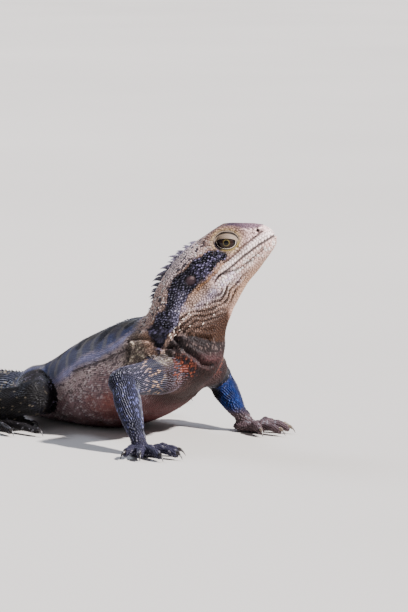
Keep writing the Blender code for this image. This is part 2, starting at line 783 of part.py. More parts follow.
def main():
    clear_scene()
    dragon = bpy.data.collections.new("water_dragon")
    bpy.context.scene.collection.children.link(dragon)

    torso, neck, trunk_rings, neck_rings, head_start = make_body(dragon)
    head, head_rings = make_head(dragon, head_start)
    tail = make_tail(dragon, trunk_rings)

    limbs = (
        ("right", -1, RIGHT_ARM, "upper_arm", "forearm", "hand", UPPER_ARM_RADII, FOREARM_RADII),
        ("left", 1, LEFT_ARM, "upper_arm", "forearm", "hand", UPPER_ARM_RADII, FOREARM_RADII),
        ("right", -1, RIGHT_LEG, "thigh", "shank", "foot", THIGH_RADII, SHANK_RADII),
        ("left", 1, LEFT_LEG, "thigh", "shank", "foot", THIGH_RADII, SHANK_RADII),
    )
    headings = {
        ("right", "hand"): RIGHT_HAND_HEADING,
        ("left", "hand"): LEFT_HAND_HEADING,
        ("right", "foot"): RIGHT_FOOT_HEADING,
        ("left", "foot"): LEFT_FOOT_HEADING,
    }
    for side, mirror, joints, upper, lower, end, upper_radii, lower_radii in limbs:
        first = limb_loft(f"{side}_{upper}", *joints[:2], upper_radii, "limb_hide", dragon)
        cut(first, [swollen_copy(torso, dragon), swollen_copy(neck, dragon)])
        keep_largest(first.data)
        second = limb_loft(f"{side}_{lower}", *joints[1:], lower_radii, "limb_hide", dragon)
        cut(second, [swollen_copy(first, dragon)])
        keep_largest(second.data)
        digits, spread, palm = HAND_DIGITS, HAND_SPREAD, HAND_PALM
        if end == "foot":
            digits, spread, palm = FOOT_DIGITS, FOOT_SPREAD, FOOT_PALM
        heading = headings[(side, end)]
        name = f"{side}_{end}"
        third = make_foot(name, joints[2], heading, digits, spread, palm, mirror, dragon)
        cut(third, [swollen_copy(second, dragon)])
        keep_largest(third.data)

    head_details(head, dragon)
    jowls = jowl_spines(head, neck, head_rings[0], dragon)
    skull = crest(
        head_rings, 0.01, 0.27, SKULL_SPINES, SKULL_SPINE_LENGTH, "head_hide", dragon, "skull", skull_shape
    )
    fuse(head, skull + jowls[head.name])
    jaw = part_jaw(head, dragon)
    nape = crest(
        neck_rings, 0.02, 0.96, NAPE_SPINES, NAPE_SPINE_LENGTH, "head_hide", dragon, "nape", nape_shape
    )
    fuse(neck, nape + jowls[neck.name])
    cut(neck, [swollen_copy(head, dragon), swollen_copy(jaw, dragon)])
    keep_largest(neck.data)
    back = crest(trunk_rings, 0.03, 0.98, BACK_SPINES, BACK_SPINE_LENGTH, "hide", dragon, "back", level)
    fuse(torso, back)
    cut(torso, [swollen_copy(neck, dragon)])
    keep_largest(torso.data)
    tail_crests(tail, dragon)


main()
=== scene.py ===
# %% [markdown]
# # An eastern water dragon
#
# A life-size museum model of a grown male, resting on its belly with its fore body raised on
# both arms and its head turned to the left. The solid frame gives the body's parts at their
# real size. This lesson grows one skin over them, folds and marks it, and covers it with
# scales, spines, lids, eyes and claws.

import math

import bmesh
import bpy
import numpy as np
from mathutils import Matrix, Vector
from mathutils.bvhtree import BVHTree


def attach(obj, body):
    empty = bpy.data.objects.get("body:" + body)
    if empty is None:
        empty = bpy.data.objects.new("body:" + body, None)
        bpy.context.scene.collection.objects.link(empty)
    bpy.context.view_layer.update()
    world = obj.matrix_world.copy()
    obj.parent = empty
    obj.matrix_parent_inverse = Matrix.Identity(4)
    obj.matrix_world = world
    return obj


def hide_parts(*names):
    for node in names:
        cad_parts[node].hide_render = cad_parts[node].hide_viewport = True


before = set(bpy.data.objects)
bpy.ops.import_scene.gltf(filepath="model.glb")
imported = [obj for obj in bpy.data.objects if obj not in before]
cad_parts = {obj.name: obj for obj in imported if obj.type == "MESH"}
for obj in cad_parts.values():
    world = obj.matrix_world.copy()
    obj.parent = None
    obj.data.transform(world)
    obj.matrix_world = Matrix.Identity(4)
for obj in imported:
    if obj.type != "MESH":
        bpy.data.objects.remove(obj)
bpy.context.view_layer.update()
print("parts in the frame:", len(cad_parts))

# %% [markdown]
# ## Camera, floor and light
#
# The picture is taken from low beside the right shoulder with a long lens. A camera that
# stands far off with a narrow view keeps that flat perspective. The floor is one pale sheet.
# A warm sun from the upper right draws every scale, a cooler one edges the back, and a pale
# sky fills the shadows.

# %% Camera, floor and light
CAMERA_ROUND, CAMERA_UP, CAMERA_AWAY = math.radians(48), math.radians(7), 1.9
VIEW_HEIGHT, SENSOR = 0.340, 36.0
VIEW_RIGHT, VIEW_UP = 0.055, 0.065
SKY_COLOUR, SKY_STRENGTH = (0.82, 0.83, 0.93, 1), 0.28
FLOOR_RADIUS = 14

aside = Vector((math.cos(CAMERA_ROUND), math.sin(CAMERA_ROUND), 0))
level = Vector((math.sin(CAMERA_ROUND), -math.cos(CAMERA_ROUND), 0))
look = level * math.cos(CAMERA_UP) + Vector((0, 0, math.sin(CAMERA_UP)))
above = look.cross(aside)


def turned(right, up, back):
    """The rotation of a camera or lamp that looks along minus its back vector."""
    return Matrix((right, up, back)).transposed().to_4x4()


lens = bpy.data.cameras.new("camera")
lens.sensor_fit = "VERTICAL"
lens.sensor_height = SENSOR
lens.lens = SENSOR * CAMERA_AWAY / VIEW_HEIGHT
lens.clip_end = 60
camera = bpy.data.objects.new("camera", lens)
target = aside * VIEW_RIGHT + above * VIEW_UP
camera.matrix_world = Matrix.Translation(target + look * CAMERA_AWAY) @ turned(aside, above, look)
bpy.context.scene.collection.objects.link(camera)
bpy.context.scene.camera = camera


def sun(name, toward, strength, colour, angle):
    """A sun that shines on the animal from the given direction."""
    light = bpy.data.lights.new(name, "SUN")
    light.energy = strength
    light.color = colour
    light.angle = angle
    made = bpy.data.objects.new(name, light)
    toward = toward.normalized()
    side = Vector((0, 0, 1)).cross(toward).normalized()
    made.matrix_world = Matrix.Translation(toward * 1.6) @ turned(side, toward.cross(side), toward)
    bpy.context.scene.collection.objects.link(made)


sun("key", aside * 0.85 + look * 0.45 + above * 0.80, 9.3, (1, 0.95, 0.95), 0.06)
sun("rim", -aside * 0.5 - look * 0.7 + above * 0.9, 1.5, (0.74, 0.81, 1.0), 0.35)
sky = bpy.data.worlds.new("sky")
sky.use_nodes = True
backdrop = sky.node_tree.nodes["Background"]
backdrop.inputs["Color"].default_value = SKY_COLOUR
backdrop.inputs["Strength"].default_value = SKY_STRENGTH
bpy.context.scene.world = sky

sheet = bmesh.new()
bmesh.ops.create_circle(sheet, cap_ends=True, segments=96, radius=FLOOR_RADIUS)
floor_mesh = bpy.data.meshes.new("floor")
sheet.to_mesh(floor_mesh)
sheet.free()
floor = bpy.data.objects.new("floor", floor_mesh)
bpy.context.scene.collection.objects.link(floor)
print("camera stands at", [round(v, 3) for v in camera.matrix_world.translation])

# %% [markdown]
# ## Where things are on the animal
#
# A lizard is a chain of cross-sections from snout to tail tip, with four shorter chains for
# its limbs. Each row below is one section: its middle in millimetres, its yaw and pitch in
# degrees, and a rough radius. Everything that follows, from folds to markings to rows of
# scales, is placed by how far along a chain it is and by the angle around it, so a change of
# pose only needs new rows.

# %% The head's own axes
MM = 0.001
HEAD_BASE = np.array((62.0, 7.5, 88.5)) * MM
HEAD_YAW, HEAD_PITCH = 40.0, 30.0


def axes_of(yaw, pitch):
    """Forward, left and up, as the rows of an array."""
    a, b = math.radians(yaw), math.radians(pitch)
    forward = (math.cos(b) * math.cos(a), math.cos(b) * math.sin(a), math.sin(b))
    left = (-math.sin(a), math.cos(a), 0.0)
    up = (-math.sin(b) * math.cos(a), -math.sin(b) * math.sin(a), math.cos(b))
    return np.array((forward, left, up))


HEAD_AXES = axes_of(HEAD_YAW, HEAD_PITCH)


def head_place(forward, left, up):
    """A point given in millimetres along the head's own axes."""
    return HEAD_BASE + np.array((forward, left, up)) * MM @ HEAD_AXES


def in_head(points):
    """Points as millimetres forward, left and up in the head's own axes."""
    return (points - HEAD_BASE) @ HEAD_AXES.T / MM


print("the head looks toward", [round(float(v), 2) for v in HEAD_AXES[0]])

# %% Sections from the tail to the snout
TRUNK_ROWS = [
    (-66, 0, 10, 0, 4, 12),
    (-47, 0, 14, 0, 12, 19),
    (-24, 0, 19, 0, 22, 26),
    (4, 0, 29, 0, 27, 31),
    (32, 0, 39, 0, 32, 30),
    (52, 0, 48, 2, 42, 27),
    (60, 0.5, 60, 8, 52, 24),
    (61.5, 3, 74, 20, 58, 21),
]
HEAD_ROWS = [(-1, 22, 20), (8.5, 13, 20), (17.5, 6, 19), (26, 1, 17), (39.5, 0, 11), (50, 0, 5)]
TAIL_LENGTH_MM, TAIL_BEND_MM = 490.0, 26.0


def tail_rows(count=18):
    """The tail's sections, from its tip to just behind its root."""
    share = np.linspace(1.0, 0.02, count)
    sway = -TAIL_BEND_MM * np.sin(1.25 * math.pi * share) * (1 - np.exp(-share / 0.12))
    x = -66 - TAIL_LENGTH_MM * 0.985 * share
    high = 11.25 * (1 - share) ** 0.88 + 1.1 * share
    yaw = np.degrees(np.arctan2(np.gradient(sway), np.gradient(x)))
    return [(*row, 0.0, r) for row, r in zip(zip(x, sway, high * 0.95, yaw), high)]


def head_rows():
    """The head's sections, set out along its own axis."""
    rows = []
    for forward, lean, radius in HEAD_ROWS:
        x, y, z = head_place(forward, 0, 0) / MM
        rows.append((x, y, z, HEAD_YAW, HEAD_PITCH + lean, radius))
    return rows


print("sections of the tail:", len(tail_rows()))


# %% A chain that can be asked where a point lies
class Chain:
    """Sections along a part of the body, which can be asked where a point lies on them."""

    def __init__(self, rows):
        rows = np.array(rows, float)
        self.points = rows[:, :3] * MM
        self.turns = rows[:, 3:5]
        self.radius = rows[:, 5] * MM
        steps = np.linalg.norm(np.diff(self.points, axis=0), axis=1)
        self.along = np.concatenate(([0.0], np.cumsum(steps)))

    def between(self, place, values):
        """The columns of the sections' values at one or more distances along the chain."""
        return [np.interp(place, self.along, column) for column in values.T]

    def at(self, place):
        """Middle, axes and radius at a distance along the chain."""
        yaw, pitch = self.between(place, self.turns)
        middle = np.array(self.between(place, self.points))
        return middle, axes_of(yaw, pitch), np.interp(place, self.along, self.radius)

    def read(self, points):
        """For each point: distance along, angle round (0 on top, + to the left), excess depth."""
        best = np.full(len(points), np.inf)
        place = np.zeros(len(points))
        for i in range(len(self.points) - 1):
            way = self.points[i + 1] - self.points[i]
            length = self.along[i + 1] - self.along[i]
            share = np.clip((points - self.points[i]) @ way / length**2, 0, 1)
            away = np.linalg.norm(points - self.points[i] - share[:, None] * way, axis=1)
            nearer = away < best
            best = np.where(nearer, away, best)
            place = np.where(nearer, self.along[i] + share * length, place)
        middles = np.stack(self.between(place, self.points), 1)
        yaw, pitch = np.radians(self.between(place, self.turns))
        side = -np.sin(yaw) * (points - middles)[:, 0] + np.cos(yaw) * (points - middles)[:, 1]
        ups = np.stack([-np.sin(pitch) * np.cos(yaw), -np.sin(pitch) * np.sin(yaw), np.cos(pitch)], 1)
        high = ((points - middles) * ups).sum(1)
        radius = np.interp(place, self.along, self.radius)
        return place, np.degrees(np.arctan2(side, high)), best - radius


print("length of the tail in mm:", round(Chain(tail_rows()).along[-1] / MM))


# %% Chains of the trunk and limbs
def limb_rows(joints, radii):
    """Sections through three joints. Roll follows the upright, so the angle 0 is on top."""
    rows = []
    joints = np.array(joints, float)
    for i, (start, end) in enumerate(zip(joints, joints[1:])):
        way = end - start
        yaw = math.degrees(math.atan2(way[1], way[0]))
        pitch = math.degrees(math.atan2(way[2], math.hypot(way[0], way[1])))
        for share in (0.12, 0.5, 0.88):
            rows.append((*(start + way * share), yaw, pitch, radii[i * 3 + int(share * 2.9)]))
    return rows


LIMBS = {
    "right_arm": ((69, -17, 36), (67, -44.5, 34.5), (88, -54, 12.5)),
    "left_arm": ((66, 17, 37), (45.5, 43, 27), (67.5, 37.2, 12)),
    "right_leg": ((-42, -12, 16.5), (-6, -46.5, 17.5), (-42, -60, 9.5)),
    "left_leg": ((-42, 12, 16.5), (-17, 46, 17), (-59, 40.5, 9.5)),
}
LIMB_RADII = {"arm": (11, 9.4, 8.2, 7, 7.6, 5.6), "leg": (13.8, 12.8, 10, 8.6, 9.2, 5.8)}

chains = {"axis": Chain(tail_rows() + TRUNK_ROWS + head_rows())}
for limb, joints in LIMBS.items():
    chains[limb] = Chain(limb_rows(joints, LIMB_RADII[limb[-3:]]))
AXIS = chains["axis"]
TAIL_ROOT, SHOULDERS, NECK_START, HEAD_START = (AXIS.along[row] for row in (18, 23, 24, 26))
print("length of the axis in mm:", round(AXIS.along[-1] / MM))

# %% [markdown]
# ## Where the fingers and toes are
#
# A hand is a palm with five digits that spread from it and arch from knuckle to tip. The
# sizes are those of the solids, so one plan tells which skin belongs to which digit and
# places the beads on it and, later, its claw. The table gives the palm's length, width and
# height, then the lengths of the digits and the angles at which they spread.

# %% Hands and feet
PAWS = {
    "arm": ((10.5, 8.0, 3.6), (7.5, 12.0, 16.5, 17.0, 11.0), (62.0, 27.0, 2.0, -21.0, -48.0)),
    "leg": ((12.5, 7.5, 3.8), (9.5, 16.5, 27.0, 37.0, 19.0), (34.0, 20.0, 7.0, -8.0, -42.0)),
}
HEADINGS = {"right_arm": -15.0, "left_arm": 24.0, "right_leg": -6.0, "left_leg": 62.0}
DIGIT_RADIUS, KNUCKLE, PRESSED, CLAW_LENGTH = 2.1, 5.2, 0.9, 6.0


def digit_plans(limb):
    """For each digit: where it starts on the floor plan, its direction, its length, its root."""
    palm, lengths, spread = PAWS[limb[-3:]]
    mirror = -1 if "right" in limb else 1
    heading = HEADINGS[limb]
    way, side, _ = axes_of(heading, 0)
    wrist = np.array(LIMBS[limb][2], float)
    middle = np.array((wrist[0], wrist[1], palm[2] - PRESSED)) + way * palm[0] * 0.80
    plans = []
    for i, (length, angle) in enumerate(zip(lengths, spread)):
        toward = axes_of(heading + mirror * angle, 0)[0]
        root = middle + side * mirror * palm[1] * (0.62 - 0.31 * i)
        root = root + way * palm[0] * 0.30 + toward * palm[0] * 0.30
        plans.append((root * (1, 1, 0), toward, length, middle[2]))
    return plans


def digit_rows(root, toward, length, root_height):
    """Sections of one digit, from inside the palm over two arches to its tip."""
    yaw = math.degrees(math.atan2(toward[1], toward[0]))
    arch = (
        (-3.0, root_height, 1.05),
        (0.20 * length, KNUCKLE, 1.15),
        (0.44 * length, 0.80 * KNUCKLE, 0.95),
        (0.66 * length, 0.80 * KNUCKLE, 1.02),
        (length, 0.52 * KNUCKLE, 0.86),
    )
    rows = []
    for along, height, share in arch:
        rows.append((*(root + toward * along + (0, 0, height)), yaw, 0.0, DIGIT_RADIUS * share))
    return rows


for limb in LIMBS:
    for i, plan in enumerate(digit_plans(limb)):
        chains[f"{limb}_digit_{i}"] = Chain(digit_rows(*plan))
DIGITS = [name for name in chains if "digit" in name]
print("chains:", len(chains))

# %% [markdown]
# ## One skin over all the flesh
#
# A real hide has no seams, so the flesh parts are swollen until they meet, joined, and
# rebuilt as one even mesh by a voxel remesh. The solids' spines are cut off first, because
# finer ones take their place. Smoothing then melts the joints: strongly where a limb leaves
# the body, and hardly at all on the fingers and the face.

# %% Growing the skin
VOXEL = 0.00064
SWELL = 0.0003
SKIN_DEPTH = 0.00045
SPIKE_ANGLE = math.radians(215)
CLAW_OFF, CLAW_CUT, DIGIT_END_HEIGHT = 2.4, 0.94, 1.6


def flesh_copy(node):
    """A merged copy of a part, swollen, with its spines and claws pressed flat."""
    made = bmesh.new()
    made.from_mesh(node.data)
    bmesh.ops.remove_doubles(made, verts=made.verts, dist=1e-6)
    for vert in made.verts:
        if sum(loop.calc_angle() for loop in vert.link_loops) < SPIKE_ANGLE:
            around = [edge.other_vert(vert).co for edge in vert.link_edges]
            vert.co = sum(around, Vector()) / len(around)
    if node.name.endswith(("hand", "foot")):
        limb = node.name.replace("hand", "arm").replace("foot", "leg")
        for root, toward, length, _ in digit_plans(limb):
            for vert in made.verts:
                spot = np.array(vert.co) / MM - root
                past = spot @ toward - length
                off = np.hypot(*(spot - (past + length) * toward)[:2])
                if past > -0.2 and off < CLAW_OFF:
                    spot = spot - toward * (past + 0.2) * CLAW_CUT
                    spot[2] = max(spot[2], DIGIT_END_HEIGHT)
                    vert.co = Vector((spot + root) * MM)
    bmesh.ops.triangulate(made, faces=made.faces)
    made.normal_update()
    moves = [v.normal * SWELL for v in made.verts]
    for vert, move in zip(made.verts, moves):
        vert.co += move
    return made


def applied(obj):
    """The object's mesh with its modifiers applied, which are then removed."""
    graph = bpy.context.evaluated_depsgraph_get()
    mesh = bpy.data.meshes.new_from_object(obj.evaluated_get(graph))
    obj.modifiers.clear()
    obj.data = mesh
    return mesh


flesh = [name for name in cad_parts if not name.endswith("_eye")]
joined = bmesh.new()
for name in flesh:
    copy = flesh_copy(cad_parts[name])
    scrap = bpy.data.meshes.new("scrap")
    copy.to_mesh(scrap)
    joined.from_mesh(scrap)
    bpy.data.meshes.remove(scrap)
    copy.free()
skin_mesh = bpy.data.meshes.new("skin")
joined.to_mesh(skin_mesh)
joined.free()
skin = bpy.data.objects.new("skin", skin_mesh)
bpy.context.scene.collection.objects.link(skin)
remesh = skin.modifiers.new("even", "REMESH")
remesh.mode = "VOXEL"
remesh.voxel_size = VOXEL
skin_mesh = applied(skin)
print("skin points:", len(skin_mesh.vertices))

# %% Reading and smoothing the skin
def read(items, key, width, kind=float):
    """One property of a mesh's points, edges or faces, as the rows of an array."""
    found = np.empty(len(items) * width, kind)
    items.foreach_get(key, found)
    return found.reshape(-1, width)


count = len(skin_mesh.vertices)
points = read(skin_mesh.vertices, "co", 3)
edges = read(skin_mesh.edges, "vertices", 2, np.int64)


def smoothed(points, weight, rounds):
    """Moves each point towards the mean of its neighbours by its weight, several times."""
    active = weight > 0.01
    some = edges[active[edges[:, 0]] | active[edges[:, 1]]]
    degree = np.maximum(np.bincount(some.ravel(), minlength=count), 1)[:, None]
    weight = np.where(active, weight, 0.0)[:, None]
    for _ in range(rounds):
        total = np.empty_like(points)
        for k in range(3):
            total[:, k] = np.bincount(some[:, 0], points[some[:, 1], k], count)
            total[:, k] += np.bincount(some[:, 1], points[some[:, 0], k], count)
        points = points + (total / degree - points) * weight
    return points


def near(points, place, reach):
    """1 at a place, falling smoothly to 0 at the given reach."""
    away = np.linalg.norm(points - np.array(place), axis=1) / reach
    return np.clip(1 - away**2, 0, 1) ** 2


root_melt = np.zeros(count)
for limb, joints in LIMBS.items():
    shoulder, elbow, ankle = np.array(joints) * MM
    root_melt = np.maximum(root_melt, near(points, shoulder * 0.75 + elbow * 0.25, 0.026))
    root_melt = np.maximum(root_melt, 0.5 * near(points, elbow, 0.013))
    root_melt = np.maximum(root_melt, 0.35 * near(points, ankle, 0.010))
for place in (TAIL_ROOT, SHOULDERS + 0.006, HEAD_START - 0.007):
    middle = AXIS.at(place)[0]
    root_melt = np.maximum(root_melt, 0.55 * near(points, middle, 0.040))
points = smoothed(points, np.full(count, 0.5), 4)
points = smoothed(points, 0.65 * root_melt, 60)
print("smoothed, widest melt weight:", round(float(root_melt.max()), 2))

# %% [markdown]
# ## Folds
#
# Loose hide folds where the body bends, and the face has a mouth, creases, brows and
# nostrils. Each is a line drawn in side view, and the skin sinks or rises along it by a soft
# bell curve. The same lines serve both sides, since the animal is symmetric.

# %% Lines on the head, forward and up in millimetres
MOUTH = ((12.5, -10.5), (16.5, -8.6), (23, -8.0), (32, -6.2), (41, -5.0), (52, -4.8))
CHEEK_CREASE = ((22.3, -3.8), (25.7, -3.9), (32.8, -1.5), (37, -1.0), (41.3, -0.4), (47, 0.6))
JAW_CREASE = ((16, -8.9), (20.8, -9.2), (25.7, -10.7), (31.7, -10.3), (38.3, -9.1), (42.8, -8.2))
BROW = ((18, 12.5), (28.3, 13.4), (33.3, 10.8), (38.8, 6.6), (42.7, 4.6), (46.8, 3.0))
NOSTRIL, EARDRUM = (45.2, 2.2), (2.2, -3.4)
EYE_MIDDLE, EYE_SIDE, EYE_SLANT = (27.7, 4.6), 9.0, 29.0
EYE_BALL = 6.0
LID_REACH, LID_LINE = (7.1, 6.4, 5.0), 0.43


def eye_axes(side):
    """Centre of one eye in metres, its sight line, and its front and up directions."""
    centre = head_place(EYE_MIDDLE[0], side * EYE_SIDE, EYE_MIDDLE[1])
    sight = HEAD_AXES[1] * side + HEAD_AXES[0] * 0.10 + HEAD_AXES[2] * 0.02
    sight /= np.linalg.norm(sight)
    slant = math.radians(EYE_SLANT)
    front = HEAD_AXES[0] * math.cos(slant) - HEAD_AXES[2] * math.sin(slant)
    front -= sight * (front @ sight)
    front /= np.linalg.norm(front)
    up = np.cross(front, sight) * side
    return centre, sight, front, up


def line_gap(spots, line):
    """Distance from each spot to a broken line, in the line's own units."""
    line = np.array(line, float)
    best = np.full(len(spots), np.inf)
    for start, end in zip(line, line[1:]):
        way = end - start
        share = np.clip((spots - start) @ way / (way @ way), 0, 1)
        best = np.minimum(best, np.linalg.norm(spots - start - share[:, None] * way, axis=1))
    return best


def height_of(line, f):
    """How high a line drawn in side view stands at a distance forward."""
    return np.interp(f, [p[0] for p in line], [p[1] for p in line])


def bell(gap, width):
    """1 on a line, falling softly to 0 a few widths away."""
    return np.exp(-((gap / width) ** 2))


def rise(value, low, high):
    """0 at low and 1 at high, with a soft step between them."""
    share = np.clip((value - low) / (high - low), 0, 1)
    return share * share * (3 - 2 * share)


def mirrored(points):
    """Points in millimetres with the left side folded onto the right about the neck's bend."""
    spots = points / MM
    middle = np.interp(spots[:, 2], (48, 60, 74, 88), (0, 0.5, 3, 7.5))
    spots[:, 1] = middle - np.abs(spots[:, 1] - middle)
    return spots


print("30 mm forward the mouth stands at", round(float(height_of(MOUTH, 30)), 2), "mm")

# %% [markdown]
# ## Lumps and specks
#
# Nothing on an animal is quite even. Mixing the whole numbers of a small cell of space gives
# that cell a number of its own, and blending it with those of its neighbours gives soft
# lumps. A place always gives the same number, so the skin and the scales over it agree.

# %% Noise
def dice(cells, seed):
    """A steady number from 0 to 1 for each cell of a grid."""
    cells = cells.astype(np.int64)
    mixed = cells @ np.array((73856093, 19349663, 83492791)) + seed * 2654435761
    mixed = (mixed ^ (mixed >> 13)) * 1274126177 & 0x7FFFFFFF
    mixed = (mixed ^ (mixed >> 16)) * 668265263 & 0x7FFFFFFF
    return mixed / 0x7FFFFFFF


def mottle(points, size, seed):
    """Smooth noise from 0 to 1 whose lumps are about the given size in millimetres."""
    spots = points / MM / size
    low = np.floor(spots)
    share = spots - low
    share = share * share * (3 - 2 * share)
    total = np.zeros(len(points))
    for i in (0, 1):
        for j in (0, 1):
            for k in (0, 1):
                corner = np.array((i, j, k))
                weight = np.prod(np.where(corner, share, 1 - share), axis=1)
                total += weight * dice(low + corner, seed)
    return total


print("lumps at the base of the head:", mottle(HEAD_BASE[None], 5, 1).round(3))


# %% The rows of the jowl
def jowl_share(f, u, lip):
    """1 on the wavy rows of the jowl, behind and below the corner of the mouth."""
    return rise(f, -24, -16) * rise(f, 34, 24) * rise(-lip, 5.0, 7.5) * rise(u, -31, -26)


def jowl_waves(points, f, lip):
    """The uneven rows of the jowl, from -1 in their valleys to 1 on their crests."""
    shift = 2.2 * np.sin(f / 5.3) + 2.4 * mottle(points, 5, 70)
    return np.sin(2 * math.pi * (lip + shift) / 2.8) * (0.35 + 0.9 * mottle(points, 4, 71))


print("share of the rows at the eardrum:", round(float(jowl_share(*EARDRUM, -7)), 2))


# %% The folds of the face
def face_height(points):
    """How far the face's skin rises (+) or sinks (-), in millimetres."""
    f, l, u = in_head(points).T
    side = np.stack((f, u), 1)
    on_face = rise(f, -4, 4)
    height = -0.9 * bell(line_gap(side, MOUTH), 0.6) * rise(f, 11, 13)
    lip = u - height_of(MOUTH, f)
    height += 0.22 * bell(lip - 1.1, 0.9) * rise(f, 12, 16) + 0.16 * bell(lip + 1.2, 0.9)
    flank = rise(np.abs(l), 3, 6)
    height -= 1.05 * bell(line_gap(side, CHEEK_CREASE), 0.65) * flank
    height -= 1.05 * bell(line_gap(side, JAW_CREASE), 0.65) * flank
    height += 0.85 * bell(line_gap(side, BROW), 1.3) * flank
    height -= 0.95 * bell(np.hypot(f - 37.5, (u - 2.6) * 1.6), 4.2) * flank
    drum = np.hypot(f - EARDRUM[0], u - EARDRUM[1])
    height += (0.30 * bell(drum - 3.4, 0.8) - 0.75 * rise(drum, 3.0, 1.9)) * rise(np.abs(l), 6, 9)
    hole = np.hypot(f - NOSTRIL[0], u - NOSTRIL[1])
    height += (0.22 * bell(hole - 1.7, 0.6) - 1.0 * bell(hole, 0.85)) * rise(np.abs(l), 1.5, 3)
    rows = jowl_share(f, u, lip) * rise(np.abs(l), 6.5, 9.5)
    height += 0.55 * jowl_waves(points, f, lip) * rows
    return np.where(jowl_share(f, u, lip) > 0, height, height * on_face)


print("the skin on the mouth line moves", face_height(head_place(30, 9, -6.7)[None]).round(2), "mm")

# %% The folds of flank and throat
FLANK_FOLDS = (
    (((11, -31.5, 33), (21, -31, 37), (30, -30, 40.4), (39, -29.4, 43.4), (53, -27, 50)), 1.2, 1.5),
    (((51, -25, 54), (57, -24, 56), (62, -23, 56), (67, -21, 54), (71, -19, 52), (77, -15, 51)), 1.4, 1.9),
    (((50, -26, 53), (53, -27, 49), (52, -27.5, 43), (49.5, -28, 38)), 1.2, 1.2),
    (((60, -25, 50), (64.5, -23, 52), (69, -20, 51.5), (74, -17, 47)), 1.1, 1.1),
    (((57, -25.5, 46), (61, -24, 48), (64, -23, 46)), 1.0, 0.8),
)
THROAT_LINE = ((75.3, -15.2, 58), (78, -13.4, 52), (81.5, -10.7, 49))
THROAT_LINE += ((84, -7, 46), (86, -3.7, 42), (87, 0, 41))
THROAT_FOLDS = (
    (((75, -15, 60.5), (80.7, -8.7, 58), (83.6, -4.1, 56.5), (86, 1, 55)), 1.3, 1.5),
    (THROAT_LINE, 1.4, 1.5),
    (((79, -11, 57.5), (83.3, -6.3, 54.4), (85.6, 0.1, 52.5)), 1.0, 0.7),
    (((70, -18, 63), (76, -14, 62), (82, -8, 61), (86, 0, 60)), 1.2, 0.8),
)


def body_height(points):
    """The folds of the flanks, shoulders and throat, in millimetres."""
    spots = mirrored(points)
    height = np.zeros(len(points))
    for line, width, depth in FLANK_FOLDS + THROAT_FOLDS:
        gap = line_gap(spots, line)
        height += depth * (0.45 * bell(gap - width * 1.9, width) - bell(gap, width))
    return height


print("folds:", len(FLANK_FOLDS + THROAT_FOLDS))

# %% [markdown]
# ## Shaping the skin
#
# A preparator would press these lines into a soft skin with a tool. Here each point moves
# along its own normal by the sum of all the bells that reach it, so that folds cross and
# fade without a seam. Round the eyes the skin sinks away, since the lids are made later.

# %% Shaping the skin
def normals_of(mesh):
    """The normals of a mesh at its points."""
    return read(mesh.vertex_normals, "vector", 3)


def put(mesh, points):
    """Moves a mesh's points to new places."""
    mesh.vertices.foreach_set("co", points.ravel())
    mesh.update()


def socketed(points):
    """Sinks the skin under the lids of both eyes, so that the lids and the ball show."""
    points = points.copy()
    for side in (-1, 1):
        centre, sight, front, up = eye_axes(side)
        away = (points - centre) / MM
        a, b, high = away @ front, away @ up, away @ sight
        reach = np.where(b > LID_LINE, LID_REACH[1], LID_REACH[2])
        around = np.hypot(a / LID_REACH[0], (b - LID_LINE) / reach)
        ball = np.sqrt(np.maximum(EYE_BALL**2 - a * a - b * b, 1.0))
        drop = np.maximum(high - ball + 0.9, 0) * rise(around, 1.02, 0.84) * (high > 0)
        points -= sight * (drop * MM)[:, None]
    return points


DIGIT_SKIN, DIGIT_DEPTH, FLOOR_GAP = 0.0012, 0.28 * MM, 0.0002
put(skin_mesh, points)
normals = normals_of(skin_mesh)
on_digit = np.zeros(count, bool)
for name in DIGITS:
    on_digit |= chains[name].read(points)[2] < DIGIT_SKIN
sink = np.where(on_digit, DIGIT_DEPTH, SWELL + SKIN_DEPTH)
moved = (face_height(points) + body_height(points)) * MM - sink
points = points + normals * moved[:, None]
points[:, 2] = np.maximum(points[:, 2], FLOOR_GAP)
points = socketed(smoothed(points, np.full(count, 0.35), 1))
put(skin_mesh, points)
print("deepest fold in mm:", round(float((moved + sink).min() / MM), 2))

# %% [markdown]
# ## Fewer faces
#
# The even mesh has far more faces than its smooth flanks need. Merging them where the skin is
# flat keeps the small forms of the face and fingers.

# %% Fewer faces
SKIN_FACES = 188000
thin = skin.modifiers.new("thin", "DECIMATE")
thin.ratio = SKIN_FACES / (2 * len(skin_mesh.polygons))
skin_mesh = applied(skin)
made = bmesh.new()
made.from_mesh(skin_mesh)
bmesh.ops.triangulate(made, faces=made.faces)
loose = [v for v in made.verts if not v.link_faces]
bmesh.ops.delete(made, geom=loose, context="VERTS")
made.to_mesh(skin_mesh)
made.free()
skin_mesh.polygons.foreach_set("use_smooth", np.ones(len(skin_mesh.polygons), bool))
skin_mesh.name = "skin"
count = len(skin_mesh.vertices)
points = read(skin_mesh.vertices, "co", 3)
normals = normals_of(skin_mesh)
corners = read(skin_mesh.polygons, "vertices", 3, np.int64)
skin_tree = BVHTree.FromPolygons(points.tolist(), corners.tolist())
print("skin faces:", len(corners))

# %% [markdown]
# ## Markings
#
# The same animal is painted twice, once on the skin and once on the scales over it. So the
# markings are one function from a place on the body to a colour. It reads the chains for
# what wraps round the body, such as the tail's bands, and the head's own axes for the dark
# band behind the eye. A seeded noise breaks each edge.

# %% Colours
def paint(code):
    """A linear colour from a code like "8a7f78"."""
    levels = np.array([int(code[k : k + 2], 16) for k in (0, 2, 4)]) / 255
    return np.where(levels > 0.04045, ((levels + 0.055) / 1.055) ** 2.4, levels / 12.92)


def flecks(points, size, share, seed):
    """1 in a share of small cells, which makes single scales stand out."""
    jitter = mottle(points, size * 2, seed + 7)[:, None] * size * MM
    return (dice(np.floor((points + jitter) / MM / size), seed) < share).astype(float)


